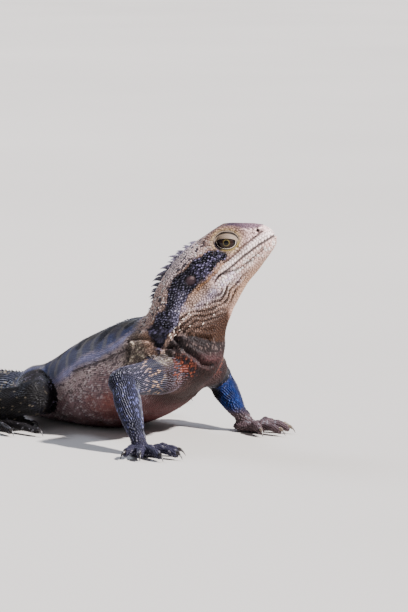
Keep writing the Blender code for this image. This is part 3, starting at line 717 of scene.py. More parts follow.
def over(base, colour, mask):
    """Lays a colour over the base where the mask is 1."""
    colour = paint(colour) if isinstance(colour, str) else colour
    return base + (colour - base) * np.clip(mask, 0, 1)[:, None]


def layered(count, first, layers):
    """One colour for every point, then more laid over it in turn where their masks are 1."""
    tone = np.tile(paint(first), (count, 1))
    for colour, mask in layers:
        tone = over(tone, colour, mask)
    return tone


print("8a7f78 in linear light:", paint("8a7f78").round(3))

# %% Reading a place on the body
CHAIN_NAMES = list(chains)
SURVEY_REACH = 0.045


def survey(points):
    """Which chain owns each point, how far along it lies and at which angle round."""
    owner = np.zeros(len(points), int)
    along, turn = np.zeros(len(points)), np.zeros(len(points))
    best = np.full(len(points), np.inf)
    for i, chain in enumerate(chains.values()):
        low, high = chain.points.min(0) - SURVEY_REACH, chain.points.max(0) + SURVEY_REACH
        close = np.flatnonzero(((points > low) & (points < high)).all(1))
        s, angle, depth = chain.read(points[close])
        nearer = depth < best[close]
        spots = close[nearer]
        owner[spots], best[spots] = i, depth[nearer]
        along[spots], turn[spots] = s[nearer], angle[nearer]
    return owner, along, turn


skin_owner, skin_along, skin_turn = survey(points)
print("skin points on the axis:", int((skin_owner == 0).sum()))

# %% [markdown]
# ## The head's markings
#
# The head has a dark crown, a pale snout and lip, and a black band from the eye down the
# neck. Below the band the jowl breaks up into pale rows with painted shade in the valleys
# between them, and painted shade also darkens the creases, the slit of the mouth, the
# nostrils, the underside of the jaw and the skin round the lids, while a painted highlight
# lies on the eardrum. As in painting, large areas come first and small ones over them, so
# each part of the head is a list in that order.

# %% The dark band behind the eye
BAND_TOP = ((-34, -16), (-26.2, -12.7), (-22.9, -10.4), (-16.6, -9.7), (-13.6, -5.4), (-10.6, -1.1))
BAND_TOP += ((-6.7, 1.2), (-2.7, 3.0), (2.1, 3.2), (6.2, 4.8), (10.8, 5.7), (16.4, 5.6), (21.4, 4.8))
BAND_TOP += ((24.8, 1.6), (27.3, -0.8))
BAND_LOW = ((-34, -32), (-28, -27), (-21.4, -22.9), (-17.5, -22.1), (-13.9, -19.2), (-11.1, -15.7))
BAND_LOW += ((-7.1, -13.0), (-3, -10.2), (0.1, -9.0), (3.3, -7.8), (7.1, -6.8), (12, -5.4), (15.6, -4.4))
BAND_LOW += ((19.1, -3.4), (22.4, -2.8), (27.3, -1.8))
THROAT_EDGE = ((-60, -60), (-40, -38), (-34, -34), (-28, -29), (-24, -26), (-20, -24.6), (-16, -25.2))
THROAT_EDGE += ((-10, -30), (-4.6, -36.4), (2, -42))


def eye_round(f, u):
    """0 at the middle of the eye and 1 round the outside of its lids, in side view."""
    slant = math.radians(EYE_SLANT)
    ahead, high = f - EYE_MIDDLE[0], u - EYE_MIDDLE[1]
    a = ahead * math.cos(slant) - high * math.sin(slant)
    b = ahead * math.sin(slant) + high * math.cos(slant)
    return np.hypot(a / 7.3, (b - 0.9) / 6.0)


def band_share(f, u, rough):
    """1 inside the dark band that runs from the eye down the neck."""
    top, low = height_of(BAND_TOP, f) + rough, height_of(BAND_LOW, f) - rough
    share = rise(u, low - 0.7, low + 0.7) * rise(top - u, -0.7, 0.7)
    return share * rise(26.5 - f, 0, 1.5) * rise(f + rough, -34, -30)


def band_ink(points, f, u):
    """The band's colours, greyer where it runs down the neck, with pale flecks that are partly lavender
    scale tips and partly painted highlights.
    """
    grey = rise(-f, 1, 9) * rise(u - height_of(BAND_LOW, f), 9, 3) * rise(f, -21, -15)
    layers = (
        # Pale flecks: partly lavender scale tips, partly painted highlights on the glossy thorns.
        ("6e6888", flecks(points, 1.1, 0.42, 12) * (0.30 + 0.65 * rise(f, 0, 10))),
        ("6d6880", grey * 0.85),
        ("a8a2b4", grey * flecks(points, 1.1, 0.15, 13)),
    )
    return layered(len(f), "17151f", layers)


print("heights of the band at the jaw's hinge:", height_of(BAND_LOW, 0), height_of(BAND_TOP, 0))


# %% Crown, nape, jaws and jowl
def crown_layers(points, f, l, u, rough):
    """The pale snout, the dark crown and the nape above the band."""
    crown = rise(u - height_of(BROW, f), -0.6, 1.0) * rise(f, 6, 12)
    nape = rise(u - height_of(BAND_TOP, f) + rough, -0.5, 1.5) * (1 - rise(f, 18, 25))
    return (
        ("ffdcd8", rise(f, 24, 38) * rise(u, -11, 0)),
        ("ad8c78", rise(f, 18, 27) * rise(f, 42, 34) * rise(u, 0, 5)),
        ("402e3c", crown),
        ("8a6e7a", crown * rise(f, 32, 46)),
        ("c0a49a", nape),
        ("cfbcbc", nape * rise(f, -16, -4) * rise(np.abs(l), 4, 8) * rise(f, 16, 4)),
        ("84706a", nape * rise(f, -13, -21) * 0.6),
        ("a49cb8", nape * rise(np.abs(l), 9, 3) * rise(mottle(points, 6, 5), 0.3, 0.6)),
        ("38323a", nape * flecks(points, 1.1, 0.11, 3)),
        ("c3b8b4", nape * flecks(points, 1.1, 0.16, 4)),
    )


JOWL_PLATES = ((9, -14.5), (17, -13), (24, -11.5))


def jaw_layers(points, f, l, u, rough):
    """The jaws, the jowl and the throat below the band, with painted shade in their creases, on their
    underside and in the slit of the mouth.
    """
    side = np.stack((f, u), 1)
    lip = u - height_of(MOUTH, f)
    below = rise(height_of(BAND_LOW, f) - u, -0.2, 1.0) * rise(26 - f, 0, 3)
    throat = rise(-u - 0.25 * f, 17, 27) * rise(f, -24, -14)
    plates = bell(line_gap(side, JOWL_PLATES), 2.0)
    waves = jowl_waves(points, f, lip)
    rows = jowl_share(f, u, lip) * rise(np.abs(l), 6.5, 9.5)
    pale = rise(waves, 0.1, 0.7) * (1 - 0.85 * rise(-lip, 7.5, 10.5))
    gold = bell(u - height_of(BAND_LOW, f) + 1.5 + rough * 0.4, 1.0) * rise(f, -3, 2)
    return (
        ("a68c80", below),
        ("a094a8", below * rise(mottle(points, 6, 5), 0.45, 0.7) * rise(u, -22, -14)),
        ("c09884", throat * rise(mottle(points, 9, 6), 0.0, 0.4)),
        ("dfbfb5", bell(lip + 2.6, 4.2) * rise(f, 6, 16)),
        ("b08c74", rise(-lip, 7, 12) * rise(f, 10, 20)),
        # Painted shade: the lower jowl and the underside of the throat are darkened where they face away
        # from the light.
        ("543d31", rise(-lip, 6.5, 12) * rise(f, -26, -18) * 0.95 * rise(f, 11, 3)),
        ("3c2416", throat * rise(-u + 0.35 * f, 25, 31) * rise(np.abs(l), 3, 8)),
        ("c6bcd2", plates * (0.25 + 0.6 * flecks(points, 1.3, 0.55, 9))),
        # Painted shade in the valleys between the jowl's rows.
        ("2e211c", rows * rise(-waves, 0.0, 0.6) * 0.92),
        ("d4c6c2", rows * pale * (0.4 + 0.5 * flecks(points, 1.1, 0.4, 10))),
        ("efe6e0", bell(lip + 3.4, 2.4) * rise(f, 8, 18) * flecks(points, 1.2, 0.35, 8)),
        ("fff0ec", bell(lip - 2.2, 1.9) * rise(f, 14, 24) * 0.95),
        ("865f3a", gold * (1 - rise(f, 24, 27)) * 0.85),
        # Painted shade in the creases of cheek and jaw and in the slit of the mouth.
        ("35221e", bell(line_gap(side, CHEEK_CREASE), 0.7) * 0.9),
        ("3a2822", bell(line_gap(side, JAW_CREASE), 0.7) * 0.9),
        ("17161c", bell(line_gap(side, MOUTH), 0.6) * rise(f, 12, 14)),
    )


def hollow_layers(f, l, u, band):
    """The eardrum with a painted highlight and painted shade under its upper rim, the nostril filled with
    painted shade, and the skin round the eye with a ring of painted shade, where it isn't under the band.
    """
    outer = rise(np.abs(l), 6, 9)
    drum = np.hypot((f - EARDRUM[0]) / 1.1, (u - EARDRUM[1]))
    eye = eye_round(f, u)
    return (
        ("77606a", rise(drum, 3.0, 2.0) * outer),
        # A painted highlight on the eardrum, and painted shade under the upper rim of its hollow.
        ("d8bcbc", rise(np.hypot(f - 3.4, u + 2.6), 1.3, 0.6) * outer),
        ("0f0f18", bell(drum - 3.2, 0.8) * rise(u, -6.0, -3.5)),
        # Painted shade fills the nostril's hole.
        ("140f0e", rise(np.hypot(f - NOSTRIL[0], u - NOSTRIL[1]), 1.3, 0.7)),
        # A ring of painted shade round the lids.
        ("86685c", bell(eye - 1.34, 0.26) * outer * (1 - band) * 0.7),
        ("a8945e", bell(eye - 1.02, 0.14) * outer * (1 - band) * 0.5),
    )


def head_tone(points):
    """Colours of the head and neck."""
    f, l, u = in_head(points).T
    rough = (mottle(points, 3.0, 11) - 0.5) * 1.6
    band = band_share(f, u, rough)
    layers = crown_layers(points, f, l, u, rough) + jaw_layers(points, f, l, u, rough)
    layers += ((band_ink(points, f, u), band),) + hollow_layers(f, l, u, band)
    return layered(len(f), "997b6b", layers)


print("colour of the snout's tip:", head_tone(head_place(50, 0, 0)[None]).round(2))

# %% [markdown]
# ## The body's markings
#
# The back is slate grey with dark blotches and faint bars, and a paler line parts it from the
# flank; its bluish tint is partly its own and partly a painted sheen of the sky. The chest is
# dark with rusty flecks; its lower part and the throat pouch are deepened in part by painted
# shade under the raised head. The folds are darkest, painted with shade. All of it is placed
# by height and length, on one side, and mirrored.

# %% The markings of the body
SIDE_STRIPE = ((-24, -27, 20), (-3.5, -30.7, 26.7), (7.4, -31.2, 33.5), (17.6, -29.7, 40))
SIDE_STRIPE += ((30.7, -28.8, 44.5), (38.3, -27.4, 48.4), (43, -25, 52), (50, -21, 59))
STRIPE_HEIGHT = ((-70, 12), (-24, 20), (-3.5, 27), (7, 33.5), (18, 40), (31, 44.5), (38, 49), (50, 59))
DARK_BLOTCHES = (((4, -15, 48), 8), ((-12, -15, 40), 7), ((22, -14, 55), 8), ((38, -13, 62), 6))
DARK_BLOTCHES += (((-30, -12, 31), 6), ((-50, -9, 22), 6))


def gap_to(spots, place, stretch):
    """Distance to a place, in units that differ along the three axes."""
    return np.linalg.norm((spots - place) / stretch, axis=1)


def trunk_tone(points, turn):
    """Colours of the back, flanks and belly."""
    spots = mirrored(points)
    x, y, z = spots.T
    angle = np.abs(turn) + (mottle(points, 6, 20) - 0.5) * 24
    lumps = mottle(points, 7, 21)
    rust = gap_to(spots, (36, -26, 13), (1.8, 1, 1)) + (lumps - 0.5) * 9
    lift = z - height_of(STRIPE_HEIGHT, x) + (lumps - 0.5) * 3
    back, upper = rise(lift, 0.5, 4), rise(angle, 66, 42)
    bars = rise(np.sin(x / 1.9 + z / 3.0 + lumps * 2), 0.35, 0.9)
    layers = [
        ("846c70", rise(angle, 92, 116)),
        ("cbc0c2", flecks(points, 1.0, 0.22, 22) * 0.55),
        ("7a4034", rise(rust, 15, 5) * 0.75),
        ("48292a", rise(angle, 128, 156)),
        ("443a40", flecks(points, 1.1, 0.22, 23) * rise(angle, 150, 90) * 0.8),
        # The back's bluish grey and blue mottles are partly its own colour and partly a painted sheen of
        # the sky.
        ("555972", back),
        ("5a554c", back * upper),
        ("445080", back * rise(mottle(points, 9, 27), 0.40, 0.70) * (0.6 - 0.4 * upper)),
        ("8f8a84", bars * back * 0.5),
    ]
    ragged = (mottle(points, 3, 28) - 0.5) * 6
    for place, reach in DARK_BLOTCHES:
        away = gap_to(spots, place, (0.55, 1.7, 1.5)) + ragged
        layers.append(("1c1b21", rise(away, reach, reach * 0.6) * 0.8))
    stripe = bell(line_gap(spots, SIDE_STRIPE) + (lumps - 0.5) * 2, 2.4)
    shoulder = rise(x, 44, 54) * rise(z, 36, 44) * rise(angle, 30, 60) * rise(-y, 9, 15)
    patch = gap_to(spots, (79.5, -12.5, 39), (1, 1, 1.3)) + (lumps - 0.5) * 4
    tan = gap_to(spots, (74, -12, 29), (1, 1, 1.3))
    throat = rise(x, 66, 74) * rise(z, 44, 50)
    layers += [
        ("8d90bc", stripe * 0.85),
        ("766960", shoulder),
        ("c6b8a4", shoulder * flecks(points, 1.2, 0.24, 24) * rise(lumps, 0.25, 0.55)),
        # The lower chest's dark red-brown is partly its own colour, deepened as painted shade under the
        # raised head.
        ("2c1715", rise(x, 54, 66) * rise(z, 48, 38)),
        ("2c2024", rise(patch, 10, 6)),
        ("8a4834", rise(patch, 8.5, 4.5) * flecks(points, 1.0, 0.38, 25)),
        ("4c3432", rise(tan, 9, 6) * 0.8),
        # The throat pouch's dark colour is partly its own and partly painted shade under the jaw.
        ("251b1b", throat),
        ("5b4c49", throat * flecks(points, 1.0, 0.2, 26)),
    ]
    # Painted shade in the folds of flank, shoulder and throat.
    for line, width, _ in FLANK_FOLDS + THROAT_FOLDS[:2]:
        layers.append(("141216", bell(line_gap(spots, line), width * 0.75) * 0.85))
    return layered(len(points), "b3a1a2", layers)


print("colour of the back:", trunk_tone(np.array([[0, 0, 56]]) * MM, np.zeros(1)).round(2))


# %% The markings of tail and limbs
def tail_tone(points, along, turn):
    """The banded tail, darker and bluer at its root."""
    s = along / MM
    wave = np.sin(2 * math.pi * s / 27 + (mottle(points, 8, 30) - 0.5) * 1.6)
    layers = (
        ("877c66", rise(wave, -0.1, 0.55) * rise(s, 470, 410)),
        ("232a40", rise(s, 440, 480) * rise(mottle(points, 6, 31), 0.3, 0.7)),
        ("6c604f", rise(np.abs(turn), 110, 150) * 0.7),
        ("a39880", flecks(points, 2.2, 0.10, 32) * 0.7),
    )
    return layered(len(s), "33312f", layers)


FLESH_TONES = {
    "right_arm": ("0e0f20", "bc9878", "14172f", "5c6090", 0.26),
    # The left forearm's bright blue and blue flecks are a painted reflection of the sky.
    "left_arm": ("0f0d14", "4a3e34", "142c68", "2c4c94", 0.12),
    "right_leg": ("120d0d", "6d604e", "0c0a0a", "5a5348", 0.12),
    "left_leg": ("120d0d", "6d604e", "0c0a0a", "5a5348", 0.12),
}


def limb_tone(points, limb, share):
    """Colours of a limb: its upper part, then its lower part."""
    upper, upper_fleck, lower, lower_fleck, thick = FLESH_TONES[limb]
    below = rise(share, 0.46, 0.56)
    band = 0.35 + 0.65 * rise(mottle(points, 4.0, 41), 0.30, 0.62)
    speck = paint(upper_fleck)
    dots = speck + (paint("847e94") - speck) * rise(share, 0.15, 0.36)[:, None]
    layers = (
        # Blue mottles, which only the right arm gets: a painted sheen of the sky.
        ("283058", rise(mottle(points, 7, 40), 0.45, 0.75) * max(thick * 3 - 0.36, 0)),
        (dots, band * flecks(points, 1.0, thick * 0.7, 42) * rise(share, 0.55, 0.45)),
        (lower, below),
        ("10121f", rise(mottle(points, 4, 44), 0.45, 0.75) * below * 0.6),
        (lower_fleck, flecks(points, 1.0, thick * 0.4, 43) * below),
    )
    return layered(len(share), upper, layers)


HAND_TONES = {"right_arm": "302e42", "left_arm": "5a4a4e", "right_leg": "1c191b"}
HAND_TONES["left_leg"] = HAND_TONES["right_leg"]
print("colour of the tail's tip:", tail_tone(AXIS.points[:1], np.zeros(1), np.zeros(1)).round(2))


# %% The colour at any place
def whole_limb_tone(points, name, along):
    """Colours of one limb, from the flank that it leaves to its hand or foot."""
    limb = chains[name]
    share = along / limb.along[-1]
    hand = rise(share, 0.93, 1.0) * rise(points[:, 2] / MM, 13.5, 9)
    flesh = over(limb_tone(points, name, share), HAND_TONES[name], hand)
    # On the left arm, painted shade darkens the back of the arm and the outer side of the forearm, so its
    # painted blue reflection shows only on the front and inner side.
    if name == "left_arm":
        core = limb.between(along, limb.points)
        behind, outer = (core[0] - points[:, 0]) / MM, (points[:, 1] - core[1]) / MM
        flesh = over(flesh, "0f0e13", rise(behind, -1.2, 1.0) * rise(share, 0.97, 0.80))
        flesh = over(flesh, "20222e", rise(outer, 0, 3) * rise(share, 0.44, 0.54) * 0.7)
    body = trunk_tone(points, AXIS.read(points)[1])
    root = (0.02, 0.08) if "arm" in name else (0.06, 0.20)
    return over(body, flesh, rise(share, *root))


def digit_tone(points, name):
    """Colours of one digit, which are those of its hand or foot."""
    pale = flecks(points, 1.2, 0.10, 50) * 0.5
    return layered(len(points), HAND_TONES[name.split("_digit")[0]], (("8f8c96", pale),))


def tone_at(points, owner, along, turn):
    """The colour of every point from the markings of the part that owns it."""
    tone = np.zeros((len(points), 3))
    axis = owner == 0
    tone[axis] = trunk_tone(points[axis], turn[axis])
    tail = axis & (along < TAIL_ROOT + 0.012)
    banded = tail_tone(points[tail], along[tail], turn[tail])
    fade = rise(along[tail], TAIL_ROOT + 0.012, TAIL_ROOT - 0.006)
    tone[tail] = over(tone[tail], banded, fade)
    f, _, u = in_head(points).T
    front = axis & (along > NECK_START - 0.020)
    upon = rise(u - height_of(THROAT_EDGE, f), -1.2, 0.4) * rise(f, -40, -33)
    tone[front] = over(tone[front], head_tone(points[front]), upon[front])
    for i, name in enumerate(CHAIN_NAMES[1:], 1):
        mine = owner == i
        if "digit" in name:
            tone[mine] = digit_tone(points[mine], name)
        else:
            tone[mine] = whole_limb_tone(points[mine], name, along[mine])
    return tone * (0.86 + 0.28 * mottle(points, 2.2, 60)[:, None])


skin_tone = tone_at(points, skin_owner, skin_along, skin_turn)
print("mean skin colour:", [round(float(v), 3) for v in skin_tone.mean(0)])

# %% [markdown]
# ## Finishes as small sums
#
# Blender's materials are node trees. Here one small class wraps a node's output, so that a
# finish is written as a sum, such as rough + 0.2 * grain, and each sign adds its node.

# %% Wires that add up
SIGNS = ("ADD", "SUBTRACT", "MULTIPLY")


def sign(operation, swapped=False):
    """A method for one sign of a sum, which adds its Math node."""

    def method(self, other):
        first, second = (other, self) if swapped else (self, other)
        return self.board.node("ShaderNodeMath", {"operation": operation}, {0: first, 1: second})

    return method


class Wire:
    """The output of a node, which can be added, subtracted and multiplied like a number."""

    def __init__(self, board, socket):
        self.board, self.socket = board, socket

    __add__, __sub__, __mul__ = (sign(name) for name in SIGNS)
    __radd__, __rsub__, __rmul__ = (sign(name, swapped=True) for name in SIGNS)


print("signs that a wire knows:", SIGNS)


# %% Writing node trees
class Board:
    """A node tree that is filled by asking for nodes, whose inputs are numbers or wires."""

    def __init__(self, tree):
        self.tree = tree

    def node(self, kind, settings=None, inputs=None, output=0):
        """Adds a node and returns one of its outputs."""
        made = self.tree.nodes.new(kind)
        for key, value in (settings or {}).items():
            setattr(made, key, value)
        for key, value in (inputs or {}).items():
            self.plug(made.inputs[key], value)
        return Wire(self, made.outputs[output])

    def plug(self, socket, value):
        """Links a wire to an input, or sets the input to a number."""
        if isinstance(value, Wire):
            self.tree.links.new(value.socket, socket)
        else:
            socket.default_value = value

    def ramp(self, value, stops):
        """A colour that changes with a value, from stops of place and colour code."""
        made = self.tree.nodes.new("ShaderNodeValToRGB")
        self.plug(made.inputs["Fac"], value)
        for _ in stops[2:]:
            made.color_ramp.elements.new(0.5)
        for stop, (place, code) in zip(made.color_ramp.elements, stops):
            stop.position = place
            stop.color = (*paint(code), 1)
        return Wire(self, made.outputs["Color"])

    def mixed(self, mask, first, second):
        """Two colours mixed by a mask."""
        settings = {"data_type": "RGBA", "blend_type": "MIX"}
        return self.node("ShaderNodeMix", settings, {0: mask, 6: first, 7: second}, output=2)

    def scaled(self, vector, factor):
        """A vector or colour times a number."""
        settings = {"operation": "SCALE"}
        return self.node("ShaderNodeVectorMath", settings, {0: vector, "Scale": factor})


# %% A material as a board, first for the floor
class Finish(Board):
    """A material with one Principled shader."""

    def __init__(self, name, **constants):
        self.material = bpy.data.materials.new(name)
        self.material.use_nodes = True
        super().__init__(self.material.node_tree)
        self.shader = self.tree.nodes["Principled BSDF"]
        for key, value in constants.items():
            self.shader.inputs[key.replace("_", " ")].default_value = value

    def wear(self, **wires):
        """Links wires to the shader's inputs, which are named with _ for each space."""
        for key, value in wires.items():
            self.plug(self.shader.inputs[key.replace("_", " ")], value)

    def place(self):
        """The object's own coordinates."""
        return self.node("ShaderNodeTexCoord", output=3)

    def noise(self, scale, detail=3.0, rough=0.5):
        """Soft noise from 0 to 1 in the object's own coordinates."""
        inputs = {"Vector": self.place(), "Scale": scale, "Detail": detail, "Roughness": rough}
        return self.node("ShaderNodeTexNoise", None, inputs)

    def bump(self, height, depth, strength):
        """A normal that is tilted by a height, as if the surface were that deep."""
        inputs = {"Height": height, "Distance": depth, "Strength": strength}
        return self.node("ShaderNodeBump", None, inputs)

    def painted(self):
        """The colour that is stored on the mesh."""
        return self.node("ShaderNodeAttribute", {"attribute_name": "tone"}, output=0)

    def number(self, name):
        """A number that is stored on the mesh."""
        return self.node("ShaderNodeAttribute", {"attribute_name": name}, output=2)


def floor_finish():
    """An even, pale and dull studio floor."""
    made = Finish("pale_floor", Specular_IOR_Level=0.2)
    cloud = made.noise(1.3, 3.0)
    made.wear(Base_Color=made.ramp(cloud, ((0.3, "d6d3cd"), (0.7, "dedbd5"))))
    made.wear(Roughness=0.75 + 0.1 * cloud)
    return made.material


floor.data.materials.append(floor_finish())
print("nodes of the floor's finish:", len(floor.data.materials[0].node_tree.nodes))

# %% [markdown]
# ## Hide and scales
#
# Dry skin is dull and pebbled, and as it shows only between the scales it is painted darker as
# shade, with more painted shade in the pits between its grains. A scale is horn: it shines a
# little, and its root gets painted shade where it lies under its neighbour, while its tip is
# painted paler as a highlight. Keels get a painted bluish highlight. One finish with a few
# numbers does for every kind of scale.

# %% Finishes of hide and scales
def hide_finish(name, rough):
    """Skin between the scales: dull, with fine grains, painted darker as shade between the scales and in
    the pits between the grains.
    """
    made = Finish(name, Specular_IOR_Level=0.22)
    grain = made.node("ShaderNodeTexVoronoi", None, {"Vector": made.place(), "Scale": 1050.0})
    soft = made.noise(320.0, 4.0, 0.6)
    # Painted shade: the skin's colour is about halved, and darker still in the pits between the grains.
    colour = made.scaled(made.painted(), 0.50 + 0.34 * soft - 0.18 * grain)
    made.wear(Base_Color=colour, Roughness=rough + 0.16 * soft)
    made.wear(Normal=made.bump(0.6 * soft - grain, 0.00035, 0.8))
    return made.material


def scale_finish(name, rough, gloss, root=0.52, rising=0.86, keel_highlight=0.0):
    """Scales: painted shade on their roots, a paler painted highlight and a smoother finish on their tips,
    and a bluish painted highlight on a keel.
    """
    made = Finish(name, Coat_Weight=gloss, Coat_Roughness=0.32, Specular_IOR_Level=0.22)
    tip = made.number("tip")
    grain = made.noise(1500.0, 3.0, 0.6)
    # Painted shade at the root, and a painted highlight towards the tip.
    colour = made.scaled(made.painted(), (root + rising * tip) * (0.80 + 0.40 * grain))
    # A bluish painted highlight on the keel.
    colour = made.mixed(keel_highlight * tip * tip * tip, colour, (*paint("b4b4d2"), 1))
    made.wear(Base_Color=colour, Roughness=rough + 0.22 * grain - 0.10 * tip)
    made.wear(Normal=made.bump(grain, 0.00012, 0.5))
    return made.material


hide = hide_finish("grained_hide", 0.58)
matte_scales = scale_finish("matte_scales", 0.46, 0.0)
keeled_scales = scale_finish("keeled_scales", 0.38, 0.10, 0.18, 1.30, 0.30)
leg_scales = scale_finish("leg_scales", 0.46, 0.03, 0.25, 1.15, 0.03)
face_scales = scale_finish("face_scales", 0.50, 0.03, 0.66, 0.54)
head_scales = scale_finish("head_scales", 0.46, 0.04, 0.36, 1.12)
band_scales = scale_finish("band_scales", 0.38, 0.10, 0.35, 1.15, 0.34)


def coloured(mesh, tone):
    """Stores a colour for each point."""
    layer = mesh.attributes.new("tone", "FLOAT_COLOR", "POINT")
    layer.data.foreach_set("color", np.column_stack((tone, np.ones(len(tone)))).ravel())


coloured(skin_mesh, skin_tone)
skin_mesh.materials.clear()
skin_mesh.materials.append(hide)
print("finishes:", len(bpy.data.materials))

# %% [markdown]
# ## Where the scales grow
#
# Lizard scales stand in rings round the tail and limbs, and turn into an even pebbling where
# the body bends. So places are first offered along the lips, then along rings, found by
# casting rays outwards from each chain, and last at random over the skin. Each offer is kept
# only if it is far enough from those already kept. That gives neat rows where rows fit, and
# no bare patches.

# %% Rings and rows on the skin
TURNS = 64
SPACED_AT = (0, 200, 430, 500, 560, 700)
SPACED = (1.3, 1.8, 1.9, 1.35, 1.15, 1.10)


def cast(start, way, reach):
    """Where a ray meets the skin and the number of the face there, or None."""
    spot, _, face, _ = skin_tree.ray_cast(Vector(start), Vector(way), reach)
    return (np.array(spot), face) if spot else None


def ring_spots(chain, place, gap, offset):
    """Points on the skin round one section, evenly spaced, with the faces that they are on."""
    middle, axes, radius = chain.at(place)
    hits = []
    for k in range(TURNS):
        angle = 2 * math.pi * k / TURNS
        way = axes[2] * math.cos(angle) + axes[1] * math.sin(angle)
        hits.append(cast(middle, way, radius * 1.7 + 0.004))
    found = []
    walked = gap * offset
    for here, after in zip(hits, hits[1:] + hits[:1]):
        if here is None or after is None:
            continue
        way = after[0] - here[0]
        length = float(np.linalg.norm(way))
        if length > 4 * gap + 0.002:
            continue
        while walked < length:
            found.append((here[0] + way * walked / length, here[1]))
            walked += gap
        walked -= length
    return found


def face_row(line, lift, gap, first, last):
    """Points on both cheeks along a line lifted in side view, with their faces."""
    found = []
    for side in (-1, 1):
        f = first
        while f < last:
            u = height_of(line, f) + lift
            hit = cast(head_place(f, side * 40, u), -side * HEAD_AXES[1], 0.04)
            if hit:
                found.append(hit)
            slope = height_of(line, f + 0.5) + lift - u
            f += gap / math.hypot(1, slope / 0.5)
    return found


LIP_ROWS = ((1.35, 1.75, 14, 51.5), (2.85, 1.6, 16, 50), (-1.3, 1.75, 13, 51))
LIP_ROWS += ((-2.85, 1.8, 12, 49.5), (-4.4, 1.7, 12, 47), (-5.9, 1.6, 12, 42))
offers = []
for row in LIP_ROWS:
    offers += face_row(MOUTH, *row)
lip_offers = len(offers)
print("offers along the lips:", lip_offers)


# %% Offers in rings round the body
def limb_gap(name):
    """How far apart the scales of a limb or digit stand, in millimetres."""
    return 1.15 if "digit" in name or "arm" in name else 1.3


for name, chain in chains.items():
    place, step = 0.002, 0
    while place < (SHOULDERS if name == "axis" else chain.along[-1] - 0.001):
        gap = limb_gap(name)
        if name == "axis":
            gap = float(np.interp(place / MM, SPACED_AT[:5], SPACED[:5]))
        offers += ring_spots(chain, place, gap * MM, 0.5 * (step % 2))
        place += gap * 0.88 * MM
        step += 1
rows_offered = len(offers)
print("offers in rows:", rows_offered)

# %% Offers scattered over the skin
SCATTERED = 260000
rng = np.random.default_rng(7)
ways = points[corners[:, 1]] - points[corners[:, 0]], points[corners[:, 2]] - points[corners[:, 0]]
areas = np.linalg.norm(np.cross(*ways), axis=1) / 2
picked = rng.choice(len(areas), SCATTERED, p=areas / areas.sum())
a, b = rng.random((2, len(picked)))
flip = a + b > 1
a, b = np.where(flip, 1 - a, a), np.where(flip, 1 - b, b)
scattered = points[corners[picked, 0]]
scattered = scattered + ways[0][picked] * a[:, None] + ways[1][picked] * b[:, None]
offer_faces = np.concatenate(([face for _, face in offers], picked))
offers = np.concatenate(([spot for spot, _ in offers], scattered))
print("skin in square centimetres:", round(areas.sum() * 1e4))

# %% [markdown]
# ## Keeping the offers that have room
#
# Rows come first in the list, so they win over scattered offers. A grid of small cells lets
# each offer be compared with its near neighbours only. The gap is that of the real hide:
# about a millimetre, wider on the tail and on the thorny band.

# %% Keeping the offers that have room
CELL = 0.0021
LIP_ROOM, ROW_SHARE, SCATTER_SHARE = 0.0008, 0.80, 0.86
AROUND = [(i, j, k) for i in (-1, 0, 1) for j in (-1, 0, 1) for k in (-1, 0, 1)]


def spacing_for(points, owner, along):
    """How far apart scales stand, in metres."""
    gap = np.full(len(points), 1.15)
    axis = owner == 0
    s = along / MM
    gap[axis] = np.interp(s[axis], SPACED_AT, SPACED)
    gap[axis & (points[:, 2] < 0.022) & (s > 480)] *= 1.25
    for i, name in enumerate(CHAIN_NAMES[1:], 1):
        gap[owner == i] = limb_gap(name)
    f, _, u = in_head(points).T
    inked = axis & (f > -34) & (band_share(f, u, 0.0) > 0.5)
    gap[inked] = np.where(f[inked] > -8, 1.40, 1.35)
    return gap * MM


def has_room(spot, cell, limit, grid):
    """Whether every kept spot near a cell is further away than the limit."""
    x, y, z = spot
    for i, j, k in AROUND:
        for px, py, pz in grid.get((cell[0] + i, cell[1] + j, cell[2] + k), ()):
            if (px - x) ** 2 + (py - y) ** 2 + (pz - z) ** 2 < limit:
                return False
    return True


def kept_offers():
    """Indices of the offers that stand far enough from every offer kept before them."""
    grid, kept = {}, []
    reach = gaps * np.where(np.arange(len(gaps)) < rows_offered, ROW_SHARE, SCATTER_SHARE)
    reach[:lip_offers] = LIP_ROOM
    cells = map(tuple, np.floor(offers / CELL).astype(int).tolist())
    for n, (spot, cell, near) in enumerate(zip(offers.tolist(), cells, reach.tolist())):
        if has_room(spot, cell, near**2, grid):
            grid.setdefault(cell, []).append(spot)
            kept.append(n)
    return np.array(kept)


owner, along, turn = survey(offers)
gaps = spacing_for(offers, owner, along)
kept = kept_offers()
spots, faces = offers[kept], offer_faces[kept]
owner, along, turn, gaps = owner[kept], along[kept], turn[kept], gaps[kept]
outs = normals[corners[faces]].mean(1)
outs /= np.linalg.norm(outs, axis=1)[:, None]
print("scales:", len(kept), "of which in rows:", int((kept < rows_offered).sum()))

# %% Which way each scale lies
def forward_of(chain, along):
    """The chain's forward direction at each distance along it."""
    yaw, pitch = np.radians(chain.between(along, chain.turns))
    return np.stack((np.cos(pitch) * np.cos(yaw), np.cos(pitch) * np.sin(yaw), np.sin(pitch)), 1)


lies = np.zeros_like(spots)
for i, chain in enumerate(chains.values()):
    mine = owner == i
    lies[mine] = forward_of(chain, along[mine]) * (-1 if i == 0 else 1)
f, l, u = in_head(spots).T
jowl = (owner == 0) & (f > -30) & (u < height_of(BAND_LOW, f))
lies[jowl] += HEAD_AXES[2] * -0.35
print("mean lie:", np.round(lies.mean(0), 2))

# %% [markdown]
# ## A place on the colour map
#
# Every scale needs a small patch of its own on one flat map, in case its colours are painted
# into a picture. The body unrolls to a strip, each limb to a shorter one and each digit to a
# small field below them.

